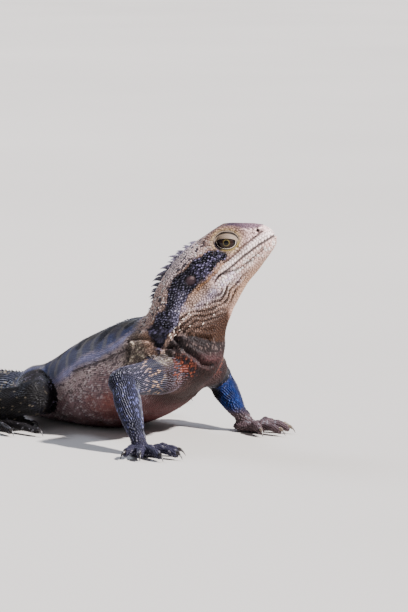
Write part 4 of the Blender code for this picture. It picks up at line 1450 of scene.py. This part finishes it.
# %% A flat place for each point
def atlas_place(owner, along, turn):
    """A flat place for each point: strips for the axis and limbs, fields for the digits."""
    flat = np.zeros((len(owner), 2))
    for i, (name, chain) in enumerate(chains.items()):
        mine = owner == i
        share = np.clip(along[mine] / chain.along[-1], 0, 1)
        around = turn[mine] / 360 + 0.5
        if i == 0:
            place = 0.01 + 0.98 * share, 0.33 + 0.65 * around
        elif "digit" in name:
            row, column = divmod(i - 5, 10)
            place = 0.01 + 0.098 * (column + 0.9 * share), 0.01 + 0.07 * row + 0.06 * around
        else:
            place = 0.01 + 0.245 * (i - 1 + 0.95 * share), 0.16 + 0.15 * around
        flat[mine] = np.stack(place, 1)
    return flat


flats = atlas_place(owner, along, turn)
print("the map is used from", flats.min(0).round(2), "to", flats.max(0).round(2))

# %% [markdown]
# ## Forms of scale
#
# Three small closed forms do for all of the hide: a keeled leaf that overlaps its
# neighbours, a rounded bead, and a leaning thorn. A curved spine follows later for the crest.
# Each has a number from root to tip, which the finish uses to pale the tip, and its own place
# within its patch of the colour map.

# %% Closed meshes
def closed_mesh(name, verts, faces, split=False):
    """A closed mesh whose faces look outwards, split into triangles if asked."""
    mesh = bpy.data.meshes.new(name)
    mesh.from_pydata([tuple(v) for v in verts], [], faces)
    made = bmesh.new()
    made.from_mesh(mesh)
    if split:
        bmesh.ops.triangulate(made, faces=made.faces)
    bmesh.ops.recalc_face_normals(made, faces=made.faces)
    made.to_mesh(mesh)
    made.free()
    return mesh


def loft_faces(start, rings, sides, foot, top):
    """Faces of a tube of rings, whose points count up from start, closed at both ends."""
    faces = []
    last = start + (rings - 1) * sides
    for k in range(sides):
        after = (k + 1) % sides
        faces.append((foot, start + after, start + k))
        for low in range(start, last, sides):
            faces.append((low + k, low + after, low + sides + after, low + sides + k))
        faces.append((last + k, last + after, top))
    return faces


def stored(mesh, name, values, kind="FLOAT"):
    """Stores a number or a vector for each point."""
    key = "value" if kind == "FLOAT" else "vector"
    mesh.attributes.new(name, kind, "POINT").data.foreach_set(key, np.ravel(values).astype(float))


def form(name, verts, faces, tips, smooth):
    """A small mesh object with its tip and spot numbers stored on its points."""
    mesh = closed_mesh(name, verts, faces, split=True)
    stored(mesh, "tip", tips)
    stored(mesh, "spot", verts, "FLOAT_VECTOR")
    mesh.polygons.foreach_set("use_smooth", [smooth] * len(mesh.polygons))
    return bpy.data.objects.new(name, mesh)


def ringed(name, rings, sides, foot, top, squeeze=1.0):
    """A closed form of stacked rings. A ring is its middle along, height and radius."""
    verts = [(foot[0], 0.0, foot[1])]
    for along_, height, radius in rings:
        for k in range(sides):
            angle = 2 * math.pi * k / sides
            side = math.sin(angle) * radius * squeeze
            verts.append((along_ + math.cos(angle) * radius, side, height))
    verts.append((top[0], 0.0, top[1]))
    tips = [max(0.0, vert[2] / top[1]) for vert in verts]
    return form(name, verts, loft_faces(1, len(rings), sides, 0, len(verts) - 1), tips, True)


print("faces of a tube of 2 rings with 6 sides:", len(loft_faces(1, 2, 6, 0, 13)))

# %% Leaf, bead and thorn
LEAF_POINTS = ((0.66, 0, 0.20), (0.05, 0.50, 0.02), (0.05, -0.50, 0.02), (-0.55, 0, -0.06))
LEAF_POINTS += ((-0.25, 0, 0.24), (0.30, 0, 0.40), (-0.40, 0.30, 0.0), (-0.40, -0.30, 0.0))
LEAF_POINTS += ((0.0, 0, -0.24),)
LEAF_FACES = ((0, 5, 1), (0, 2, 5), (5, 4, 6, 1), (5, 2, 7, 4), (4, 3, 6), (4, 7, 3))
LEAF_FACES += ((0, 1, 8), (0, 8, 2), (1, 6, 8), (6, 3, 8), (3, 7, 8), (7, 2, 8))
LEAF_TIPS = (0.85, 0.15, 0.15, 0.0, 0.55, 1.0, 0.1, 0.1, 0.0)
leaf = form("leaf", LEAF_POINTS, LEAF_FACES, LEAF_TIPS, False)
bead = ringed("bead", ((0, 0.0, 0.52), (0, 0.26, 0.36)), 6, (0, -0.25), (0.04, 0.40))
thorn = ringed("thorn", ((0, 0.0, 0.50), (0.14, 0.34, 0.30)), 5, (0, -0.25), (0.52, 0.85))
FORMS = {"leaf": leaf, "bead": bead, "thorn": thorn}
print("faces of each form:", {name: len(form.data.polygons) for name, form in FORMS.items()})

# %% [markdown]
# ## Planting by a node tree
#
# Thirty thousand scales are too many to place by hand. A Geometry Nodes tree puts one form on
# each point, stands it on the skin, turns it the way the scale lies and sizes it, each a
# little unlike its neighbours by a fixed seed. The result is realized as plain mesh, so that
# every scale can be exported.

# %% The tree that plants scales
TREE_NUMBERS = {"Length": 1.3, "Width": 1.0, "Height": 1.0, "Uneven": 0.14, "Patch": 0.002}


def planting_tree():
    """Geometry Nodes: one form on each point, turned and sized by the point's own numbers."""
    tree = bpy.data.node_groups.new("plant_scales", "GeometryNodeTree")
    face = tree.interface
    kinds = {"Places": "Geometry", "Form": "Object"} | dict.fromkeys(TREE_NUMBERS, "Float")
    for name, kind in (kinds | {"Seed": "Int", "Finish": "Material"}).items():
        made = face.new_socket(name, in_out="INPUT", socket_type=f"NodeSocket{kind}")
        if name in TREE_NUMBERS:
            made.default_value = TREE_NUMBERS[name]
    face.new_socket("Scales", in_out="OUTPUT", socket_type="NodeSocketGeometry")
    board = Board(tree)
    start = tree.nodes.new("NodeGroupInput")
    given = {socket.name: Wire(board, socket) for socket in start.outputs if socket.name}

    def read_off(name, kind="FLOAT_VECTOR"):
        settings = {"data_type": kind}
        return board.node("GeometryNodeInputNamedAttribute", settings, {"Name": name})

    def uneven(seed_step):
        inputs = {2: 1.0 - given["Uneven"], 3: 1.0 + given["Uneven"]}
        inputs["Seed"] = given["Seed"] + seed_step
        settings = {"data_type": "FLOAT"}
        return board.node("FunctionNodeRandomValue", settings, inputs, output=1)

    align = "FunctionNodeAlignRotationToVector"
    turn = board.node(align, {"axis": "Z"}, {"Vector": read_off("out")})
    inputs = {"Rotation": turn, "Vector": read_off("lie")}
    turn = board.node(align, {"axis": "X", "pivot_axis": "Z"}, inputs)
    size = read_off("size", "FLOAT")
    inputs = {
        "X": given["Length"] * size * uneven(0),
        "Y": given["Width"] * size * uneven(1),
        "Z": given["Height"] * size * uneven(2),
    }
    scale = board.node("ShaderNodeCombineXYZ", None, inputs)
    shape = board.node("GeometryNodeObjectInfo", None, {"Object": given["Form"]}, output="Geometry")
    inputs = {"Points": given["Places"], "Instance": shape, "Rotation": turn, "Scale": scale}
    planted = board.node("GeometryNodeInstanceOnPoints", None, inputs)
    solid = board.node("GeometryNodeRealizeInstances", None, {"Geometry": planted})
    inputs = {0: read_off("flat"), 1: board.scaled(read_off("spot"), given["Patch"])}
    patch = board.node("ShaderNodeVectorMath", {"operation": "ADD"}, inputs)
    settings = {"data_type": "FLOAT2", "domain": "CORNER"}
    inputs = {"Geometry": solid, "Name": "OFBake", "Value": patch}
    mapped = board.node("GeometryNodeStoreNamedAttribute", settings, inputs)
    inputs = {"Geometry": mapped, "Material": given["Finish"]}
    finished = board.node("GeometryNodeSetMaterial", None, inputs)
    end = tree.nodes.new("NodeGroupOutput")
    tree.links.new(finished.socket, end.inputs[0])
    return tree


PLANTING = planting_tree()
SOCKETS = {item.name: item.identifier for item in PLANTING.interface.items_tree}
print("inputs of the planting tree:", [n for n in SOCKETS if n != "Scales"])

# %% Planting on chosen places
SIZES = ("Length", "Width", "Height")
POINT_NUMBERS = ("out", "lie", "flat", "size", "spot")
finished = []


def planted(name, places, form_name, finish, sizes, seed):
    """Plants one form on the chosen places and makes it a plain mesh."""
    mesh = bpy.data.meshes.new(name)
    mesh.from_pydata(places["spot"].tolist(), [], [])
    stored(mesh, "out", places["out"], "FLOAT_VECTOR")
    stored(mesh, "lie", places["lie"], "FLOAT_VECTOR")
    stored(mesh, "flat", np.pad(places["flat"], ((0, 0), (0, 1))), "FLOAT_VECTOR")
    stored(mesh, "size", places["size"])
    coloured(mesh, places["tone"])
    piece = bpy.data.objects.new(name, mesh)
    bpy.context.scene.collection.objects.link(piece)
    plant = piece.modifiers.new("plant", "NODES")
    plant.node_group = PLANTING
    plant[SOCKETS["Form"]] = FORMS[form_name]
    plant[SOCKETS["Finish"]] = finish
    plant[SOCKETS["Seed"]] = seed
    for key, value in zip(SIZES, sizes):
        plant[SOCKETS[key]] = float(value)
    made = applied(piece)
    for key in POINT_NUMBERS:
        if key in made.attributes:
            made.attributes.remove(made.attributes[key])
    put(made, np.maximum(read(made.vertices, "co", 3), (-np.inf, -np.inf, 0)))
    finished.append(piece)
    print(name, "forms:", len(places["spot"]), "faces:", len(made.polygons))


print("numbers that only the planting needs:", POINT_NUMBERS)

# %% [markdown]
# ## Which scale grows where
#
# Head and digits carry beads, the dark band thorns with some beads, and all the rest leaves,
# flat on the throat and long on the tail and arms. Eyes, nostrils, eardrums, the slit of the
# mouth and the creases of the cheek stay bare, and so does the skin pressed to the floor.

# %% Sorting the places
BARE_DRUM, BARE_EYE, BARE_NOSTRIL, BARE_SLIT, BARE_CREASE = 3.0, 0.97, 1.3, 0.62, 0.50
LIP_SIZE, LARGE_SHARE, LARGE = 0.00185, 0.07, 1.35
tones = tone_at(spots, owner, along, turn)
axis = owner == 0
f, l, u = in_head(spots).T
on_head = axis & (along > NECK_START) & (f > -36)
band = on_head & (band_share(f, u, (mottle(spots, 3.0, 11) - 0.5) * 1.6) > 0.5)
drum_gap = np.hypot((f - EARDRUM[0]) / 1.1, u - EARDRUM[1])
bare = on_head & (np.abs(l) > 8) & ((drum_gap < BARE_DRUM) | (eye_round(f, u) < BARE_EYE))
hole = np.hypot(f - NOSTRIL[0], u - NOSTRIL[1])
bare |= on_head & (hole < BARE_NOSTRIL) & (np.abs(l) > 1.5)
cheek = np.stack((f, u), 1)
slit = line_gap(cheek, MOUTH) < BARE_SLIT
crease = np.minimum(line_gap(cheek, CHEEK_CREASE), line_gap(cheek, JAW_CREASE)) < BARE_CREASE
bare |= on_head & crease & (np.abs(l) > 3)
bare |= on_head & slit & (f > 13) & (kept >= lip_offers)
under = (spots[:, 2] < 0.0006) & (outs[:, 2] < -0.7)
free = ~bare & ~under
lips = kept < lip_offers
big = gaps.copy()
lump = dice(np.floor(spots / 0.0021), 77)
big[(lump < LARGE_SHARE) & axis & ~on_head] *= LARGE
big[lips] = LIP_SIZE
tail_part = axis & (along < TAIL_ROOT + 0.004)
gular = axis & ~on_head & (spots[:, 0] > 0.066)
trunk = axis & ~tail_part & ~on_head & ~gular
is_digit = owner > 4
hand = is_digit & np.isin(owner, [i for i, n in enumerate(CHAIN_NAMES) if "arm_d" in n])
rough_band = band & (f < -6) & (lump < 0.45)
plain_head = on_head & ~band & ~lips
face = plain_head & (f > 9)
places = {"spot": spots, "out": outs, "lie": lies, "flat": flats, "size": big, "tone": tones}
print("places left bare:", int((~free).sum()))

# %% Planting the scales
COATS = (
    ("beads_head", plain_head & ~face, "bead", head_scales, (1.20, 1.02, 0.74), 1),
    ("beads_face", face, "bead", face_scales, (1.44, 1.30, 0.46), 13),
    ("scales_lips", lips, "bead", face_scales, (1.14, 0.92, 0.60), 2),
    ("thorns_band", band & ~rough_band, "thorn", band_scales, (1.05, 0.95, 1.0), 3),
    ("beads_band", rough_band, "bead", band_scales, (1.0, 0.95, 1.0), 4),
    ("scales_back_right", trunk & (turn < 0), "leaf", matte_scales, (1.15, 1.0, 0.85), 5),
    ("scales_back_left", trunk & (turn >= 0), "leaf", matte_scales, (1.15, 1.0, 0.85), 6),
    ("scales_throat", gular, "leaf", matte_scales, (1.25, 1.12, 0.50), 14),
    ("scales_tail", tail_part, "leaf", keeled_scales, (1.30, 0.98, 0.80), 7),
    ("scales_right_arm", owner == 1, "leaf", keeled_scales, (1.30, 0.92, 0.85), 8),
    ("scales_left_arm", owner == 2, "leaf", leg_scales, (1.30, 0.92, 0.85), 12),
    ("scales_legs", (owner == 3) | (owner == 4), "leaf", leg_scales, (1.20, 1.0, 0.85), 9),
    ("beads_hands", hand, "bead", matte_scales, (1.20, 0.98, 0.62), 10),
    ("beads_feet", is_digit & ~hand, "bead", matte_scales, (1.20, 0.98, 0.62), 11),
)
for name, mask, *look_of in COATS:
    planted(name, {key: rows[mask & free] for key, rows in places.items()}, *look_of)

# %% [markdown]
# ## The crest and the jowl spines
#
# A male carries a crest of flat curved spines, highest on the nape and low along the back
# and tail, and pale spines on its jowls. Each crest place is found by casting a ray up from
# the chain to the top of the skin, and each jowl place by a ray from the side. The same tree
# plants them, with a form of their own.

# %% The spine and its places on the ridge
SPINE_RINGS = ((0, 0.0, 0.27), (0.03, 0.30, 0.22), (0.12, 0.62, 0.15), (0.27, 0.88, 0.08))
FORMS["spine"] = ringed("spine", SPINE_RINGS, 8, (0, -0.22), (0.50, 1.06), 0.60)


def top_of(place, turned_by):
    """The skin above the chain at a distance along it, the way up and the way back."""
    middle, axes, radius = AXIS.at(place)
    angle = math.radians(turned_by)
    way = axes[2] * math.cos(angle) + axes[1] * math.sin(angle)
    hit = cast(middle, way, radius * 2 + 0.02)
    return (hit[0], way, -axes[0]) if hit else None


def crest_places(starts, ends, number, sizes, lean, seed, side, spread):
    """Places along the ridge between two distances, with a size profile."""
    found = {key: [] for key in ("spot", "out", "lie", "size", "along", "turn")}
    for i in range(number):
        share = i / (number - 1)
        place = starts + (ends - starts) * share
        angle = side + spread * (dice(np.array([[i, seed, 3]]), 5)[0] - 0.5)
        top = top_of(place, angle)
        if top is None:
            continue
        spot, out, back = top
        uneven = dice(np.array([[i, seed, 9]]), 6)[0]
        size = float(np.interp(share, *zip(*sizes))) * (0.76 + 0.44 * uneven)
        found["spot"].append(spot - out * size * 0.08 * MM)
        found["out"].append(out + back * lean * (0.5 + uneven))
        found["lie"].append(back)
        found["size"].append(size * MM)
        found["along"].append(place)
        found["turn"].append(angle)
    return {key: np.array(values) for key, values in found.items()}


print("points of a spine:", len(FORMS["spine"].data.vertices))

# %% The crest
NAPE_START = AXIS.along[-1] - 0.037
NAPE_SIZES = ((0, 2.6), (0.3, 5.0), (0.65, 6.9), (1, 5.0))
INNER = NAPE_START, HEAD_START - 0.034, 13, ((0, 2.4), (0.5, 5.0), (1, 3.8)), 0.38
OUTER = NAPE_START, HEAD_START - 0.032, 13, ((0, 1.5), (0.5, 2.8), (1, 2.4)), 0.5
RIDGE = (
    (NAPE_START, HEAD_START - 0.036, 15, NAPE_SIZES, 0.28, 1, 0, 8),
    (*INNER, 2, 12, 12),
    (*INNER, 3, -12, 12),
    (*OUTER, 6, 23, 12),
    (*OUTER, 7, -23, 12),
    (HEAD_START - 0.038, TAIL_ROOT, 52, ((0, 3.4), (0.3, 2.8), (1, 2.4)), 0.6, 4, 0, 0),
    (TAIL_ROOT, 0.03, 170, ((0, 2.3), (0.4, 2.1), (1, 1.0)), 0.6, 5, 0, 0),
)
ridge = [crest_places(*row) for row in RIDGE]
crest = {key: np.concatenate([part[key] for part in ridge]) for key in ridge[0]}
number = len(crest["along"])
nape = rise(crest["along"], HEAD_START - 0.045, HEAD_START - 0.022)
front = rise(crest["along"], HEAD_START - 0.014, HEAD_START + 0.004)
crest_tone = layered(number, "4a4d60", (("25222e", nape), ("8b8496", front)))
behind = np.minimum(crest["along"], TAIL_ROOT)
banded = tail_tone(crest["spot"], behind, np.zeros(number))
crest["tone"] = over(crest_tone, banded, rise(crest["along"], TAIL_ROOT + 0.01, TAIL_ROOT - 0.01))
crest["flat"] = atlas_place(np.zeros(number, int), crest["along"], crest["turn"])
planted("crest_spines", crest, "spine", band_scales, (1.0, 0.9, 1.0), 21)

# %% The jowl spines
JOWL = ((8.9, -13.8, 1.7), (3.7, -18.0, 1.9), (-2, -15.8, 1.5), (-7, -18.2, 1.8), (-10.6, -19.6, 2.2))
JOWL += ((-13.5, -20.6, 2.0), (-16.2, -21.2, 2.5), (-18.6, -22.0, 2.9), (-20.6, -22.8, 2.7))
JOWL += ((-21.0, -24.2, 2.2), (-18.4, -24.6, 2.0), (-15.0, -23.6, 1.8), (3.2, -25.6, 2.2))
JOWL += ((-3.2, -26.6, 2.3), (9.5, -18.4, 1.5), (-9.4, -24.4, 1.7), (14.2, -13.0, 1.4))
jowls = {key: [] for key in ("spot", "out", "lie", "size")}
for side in (-1, 1):
    for forward, up, size in JOWL:
        hit = cast(head_place(forward, side * 45, up), -side * HEAD_AXES[1], 0.045)
        if not hit:
            continue
        out = normals[corners[hit[1]]].mean(0)
        jowls["spot"].append(hit[0] - out * 0.0002)
        jowls["out"].append(out - HEAD_AXES[0] * 0.35)
        jowls["lie"].append(-HEAD_AXES[0] - HEAD_AXES[2] * 0.25)
        jowls["size"].append(size * MM)
jowls = {key: np.array(values) for key, values in jowls.items()}
jowls["tone"] = layered(len(jowls["spot"]), "d9cbbd", ())
jowls["flat"] = atlas_place(*survey(jowls["spot"]))
planted("jowl_spines", jowls, "spine", matte_scales, (1.0, 1.25, 0.85), 22)

# %% [markdown]
# ## Eyes
#
# The eye is a wet ball with a round pupil, a thin gold ring and a dark brown iris. Its
# colours depend only on the distance from the line of sight, which is stored on the mesh.

# %% The eyeballs
def eye_finish():
    """A wet ball coloured in rings round its sight line, with fine streaks in the iris."""
    made = Finish("wet_eye", Coat_Weight=0.35, Coat_Roughness=0.03, Specular_IOR_Level=0.1)
    ring = made.number("ring")
    stops = ((0, "020203"), (0.22, "040303"), (0.25, "74683c"), (0.30, "4a3c20"), (0.38, "21140b"))
    stops += ((0.50, "22100b"), (0.68, "0b0606"), (0.95, "060405"))
    streak = made.noise(1800.0, 2.0)
    colour = made.ramp(ring + 0.03 * (streak - 0.5), stops)
    made.wear(Base_Color=colour)
    return made.material


def shown(mesh, finish):
    """A smooth object of a mesh, with one finish."""
    mesh.polygons.foreach_set("use_smooth", [True] * len(mesh.polygons))
    mesh.materials.append(finish)
    piece = bpy.data.objects.new(mesh.name, mesh)
    bpy.context.scene.collection.objects.link(piece)
    return piece


wet_eye = eye_finish()
EYES = ((-1, "right"), (1, "left"))
EYE_SIDES, EYE_STEPS = 48, 26
for side, word in EYES:
    centre, sight, front, up = eye_axes(side)
    verts, rings = [], []
    for i in range(1, EYE_STEPS):
        polar = math.pi * i / EYE_STEPS
        reach = EYE_BALL * MM * math.sin(polar)
        for k in range(EYE_SIDES):
            angle = 2 * math.pi * k / EYE_SIDES
            way = front * math.cos(angle) * reach + up * math.sin(angle) * reach
            verts.append(centre + way + sight * EYE_BALL * MM * math.cos(polar))
            rings.append(reach / MM / EYE_BALL if polar < math.pi / 2 else 1.0)
    verts += [centre + sight * EYE_BALL * MM, centre - sight * EYE_BALL * MM]
    faces = loft_faces(0, EYE_STEPS - 1, EYE_SIDES, len(verts) - 2, len(verts) - 1)
    mesh = closed_mesh(f"{word}_eyeball", verts, faces)
    stored(mesh, "ring", rings + [0.0, 1.0])
    ball = shown(mesh, wet_eye)
    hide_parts(f"{word}_eye")
    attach(ball, "root")
    print(ball.name, "faces:", len(mesh.polygons))

# %% [markdown]
# ## Lids
#
# Scaly lids lie close on the ball and leave an opening that is flat above and round below.
# Both lids of an eye are one ring with a rolled profile: a rim on the ball, three low ridges,
# a crease, and a skirt that dives under the skin of the face. The upper lid has painted shade
# in its crease and in the grooves between its ridges, and the lower one has a pale edge.

# %% The opening of the lids and their colours
def opening(angle):
    """The eye's opening, in millimetres forward and up, flat above and round below."""
    forward = 4.95 * math.cos(angle) - 0.2
    if math.sin(angle) > 0:
        return forward, LID_LINE + 1.45 * math.sin(angle) ** 0.6
    return forward, LID_LINE - 3.5 * (-math.sin(angle)) ** 0.8


def lid_edge(angle):
    """Where the lids meet the face."""
    high = LID_REACH[1] if math.sin(angle) > 0 else LID_REACH[2]
    return LID_REACH[0] * math.cos(angle), LID_LINE + high * math.sin(angle)


def lid_tone(share, ahead, high):
    """The lids' colour across their width, at a place round the eye, with painted shade in the upper lid's
    grooves and crease.
    """
    if share < 0:
        return paint("171113")
    above, behind = rise(high, -0.15, 0.30), rise(-ahead, 0.15, 0.55)
    low = paint("cdc2b0") if share < 0.22 else paint("1f181c" if share < 0.45 else "a08c58")
    low = low + (paint("1f181c") - low) * behind * rise(share, 0.25, 0.35)
    top = paint("1a1416" if share < 0.10 else "9c8a78" if share < 0.66 else "8f7f70")
    # Painted shade in the grooves between the upper lid's ridges.
    if any(abs(share - fold) < 0.02 for fold in (0.22, 0.39, 0.57)):
        top = top * 0.6
    # Painted shade in the upper lid's crease, deepest at the top.
    if 0.66 < share < 0.80:
        top = top + (paint("0d0a0c") - top) * rise(high, 0.15, 0.45)
    return low + (top - low) * above


print("height of the opening in mm:", round(opening(math.pi / 2)[1] - opening(-math.pi / 2)[1], 2))

# %% The lids
LID_ROLL = ((-0.06, -1.2), (0.00, -0.20), (0.05, 0.30), (0.13, 0.48), (0.22, 0.36), (0.30, 0.52))
LID_ROLL += ((0.39, 0.38), (0.48, 0.50), (0.57, 0.36), (0.67, 0.22), (0.75, -0.35), (0.82, 0.20))
LID_ROLL += ((0.93, 0.22), (1.06, -0.6), (0.9, -1.9), (0.3, -2.1))
LID_TURNS = 72
for side, word in EYES:
    centre, sight, front, up = eye_axes(side)
    verts, tone, faces = [], [], []
    for k in range(LID_TURNS):
        angle = 2 * math.pi * k / LID_TURNS
        inner = np.array(opening(angle))
        outer = np.array(lid_edge(angle))
        rim = centre + (front * outer[0] + up * outer[1]) * 1.03 * MM
        hit = cast(rim + sight * 0.03, -sight, 0.04)
        rim_high = (hit[0] - rim) @ sight / MM if hit else 2.0
        for share, lift in LID_ROLL:
            a, b = inner + (outer - inner) * share
            ball = math.sqrt(max(EYE_BALL**2 - a * a - b * b, 4.0))
            spot = centre + (front * a + up * b) * MM
            blend = rise(share, 0.20, 1.0)
            high = ball * (1 - blend) + rim_high * blend + lift
            if share >= 0 and lift > -1:
                high = max(high, math.sqrt(max(EYE_BALL**2 - a * a - b * b, 0.0)) + 0.22)
            verts.append(spot + sight * high * MM)
            tone.append(lid_tone(share, math.cos(angle), math.sin(angle)))
        n = len(LID_ROLL)
        for j in range(n):
            here, after = k * n, ((k + 1) % LID_TURNS) * n
            faces.append((here + j, after + j, after + (j + 1) % n, here + (j + 1) % n))
    mesh = closed_mesh(f"{word}_lids", verts, faces)
    coloured(mesh, np.array(tone))
    stored(mesh, "tip", [0.5] * len(verts))
    lids = shown(mesh, matte_scales)
    fine = lids.modifiers.new("fine", "SUBSURF")
    fine.levels = fine.render_levels = 1
    mesh = applied(lids)
    finished.append(lids)
    print(lids.name, "faces:", len(mesh.polygons))

# %% [markdown]
# ## Claws
#
# Each claw is a curved horn, deeper than it is wide, that starts inside the end of its
# digit and points down to the floor. It is a loft of rings along the same arc as the solid.
# The claws of the left hand are paler, as in the picture.

# %% The claws
def claw_finish(name, root, tip):
    """Polished horn that changes colour from root to tip."""
    made = Finish(name, Coat_Weight=0.4, Coat_Roughness=0.15)
    streak = made.noise(900.0, 3.0, 0.6)
    shade = made.number("tip") + 0.25 * (streak - 0.5)
    made.wear(Base_Color=made.ramp(shade, ((0.15, root), (0.9, tip))))
    made.wear(Roughness=0.28 + 0.2 * streak, Normal=made.bump(streak, 0.0001, 0.4))
    return made.material


dark_horn = claw_finish("dark_horn", "2b2626", "121012")
pale_horn = claw_finish("pale_horn", "8a7a6a", "3a322e")
CLAW_RADIUS, CLAW_SIDES, CLAW_RINGS = 1.28, 12, 9
CLAW_START, CLAW_HEIGHT = 1.5, 3.6
for limb in LIMBS:
    verts, tips, faces = [], [], []
    for root, toward, length, _ in digit_plans(limb):
        side = np.cross((0, 0, 1), toward)
        start = len(verts)
        for r in range(CLAW_RINGS):
            share = r / (CLAW_RINGS - 1)
            past = length - CLAW_START + CLAW_LENGTH * (share - 0.18 * share**2)
            high = CLAW_HEIGHT + 1.0 * math.sin(math.pi * share) - 2.8 * share**1.5
            radius = CLAW_RADIUS * (1 - 0.84 * share**1.3)
            for k in range(CLAW_SIDES):
                angle = 2 * math.pi * k / CLAW_SIDES
                spot = root + toward * past + side * math.cos(angle) * radius * 0.80
                spot = spot + np.array((0, 0, max(high + math.sin(angle) * radius, 0.0)))
                verts.append(spot * MM)
                tips.append(share)
        verts.append((root + toward * (length - 1.9) + (0, 0, CLAW_HEIGHT)) * MM)
        end = length - CLAW_START + CLAW_LENGTH * 0.84
        verts.append((root + toward * end + (0, 0, 0.78)) * MM)
        tips += [0.0, 1.0]
        faces += loft_faces(start, CLAW_RINGS, CLAW_SIDES, len(verts) - 2, len(verts) - 1)
    mesh = closed_mesh(f"{limb}_claws", verts, faces)
    stored(mesh, "tip", tips)
    finished.append(shown(mesh, pale_horn if limb == "left_arm" else dark_horn))
print("claw pieces:", sum("claws" in piece.name for piece in finished))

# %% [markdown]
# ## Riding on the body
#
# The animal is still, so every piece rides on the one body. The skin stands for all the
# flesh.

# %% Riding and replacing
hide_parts(*flesh)
for piece in finished + [skin]:
    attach(piece, "root")
total = sum(len(piece.data.polygons) for piece in finished + [skin])
print("pieces:", len(finished) + 3, "faces in all:", total)

# %% Removing the forms, and the end
for shape in FORMS.values():
    bpy.data.objects.remove(shape)
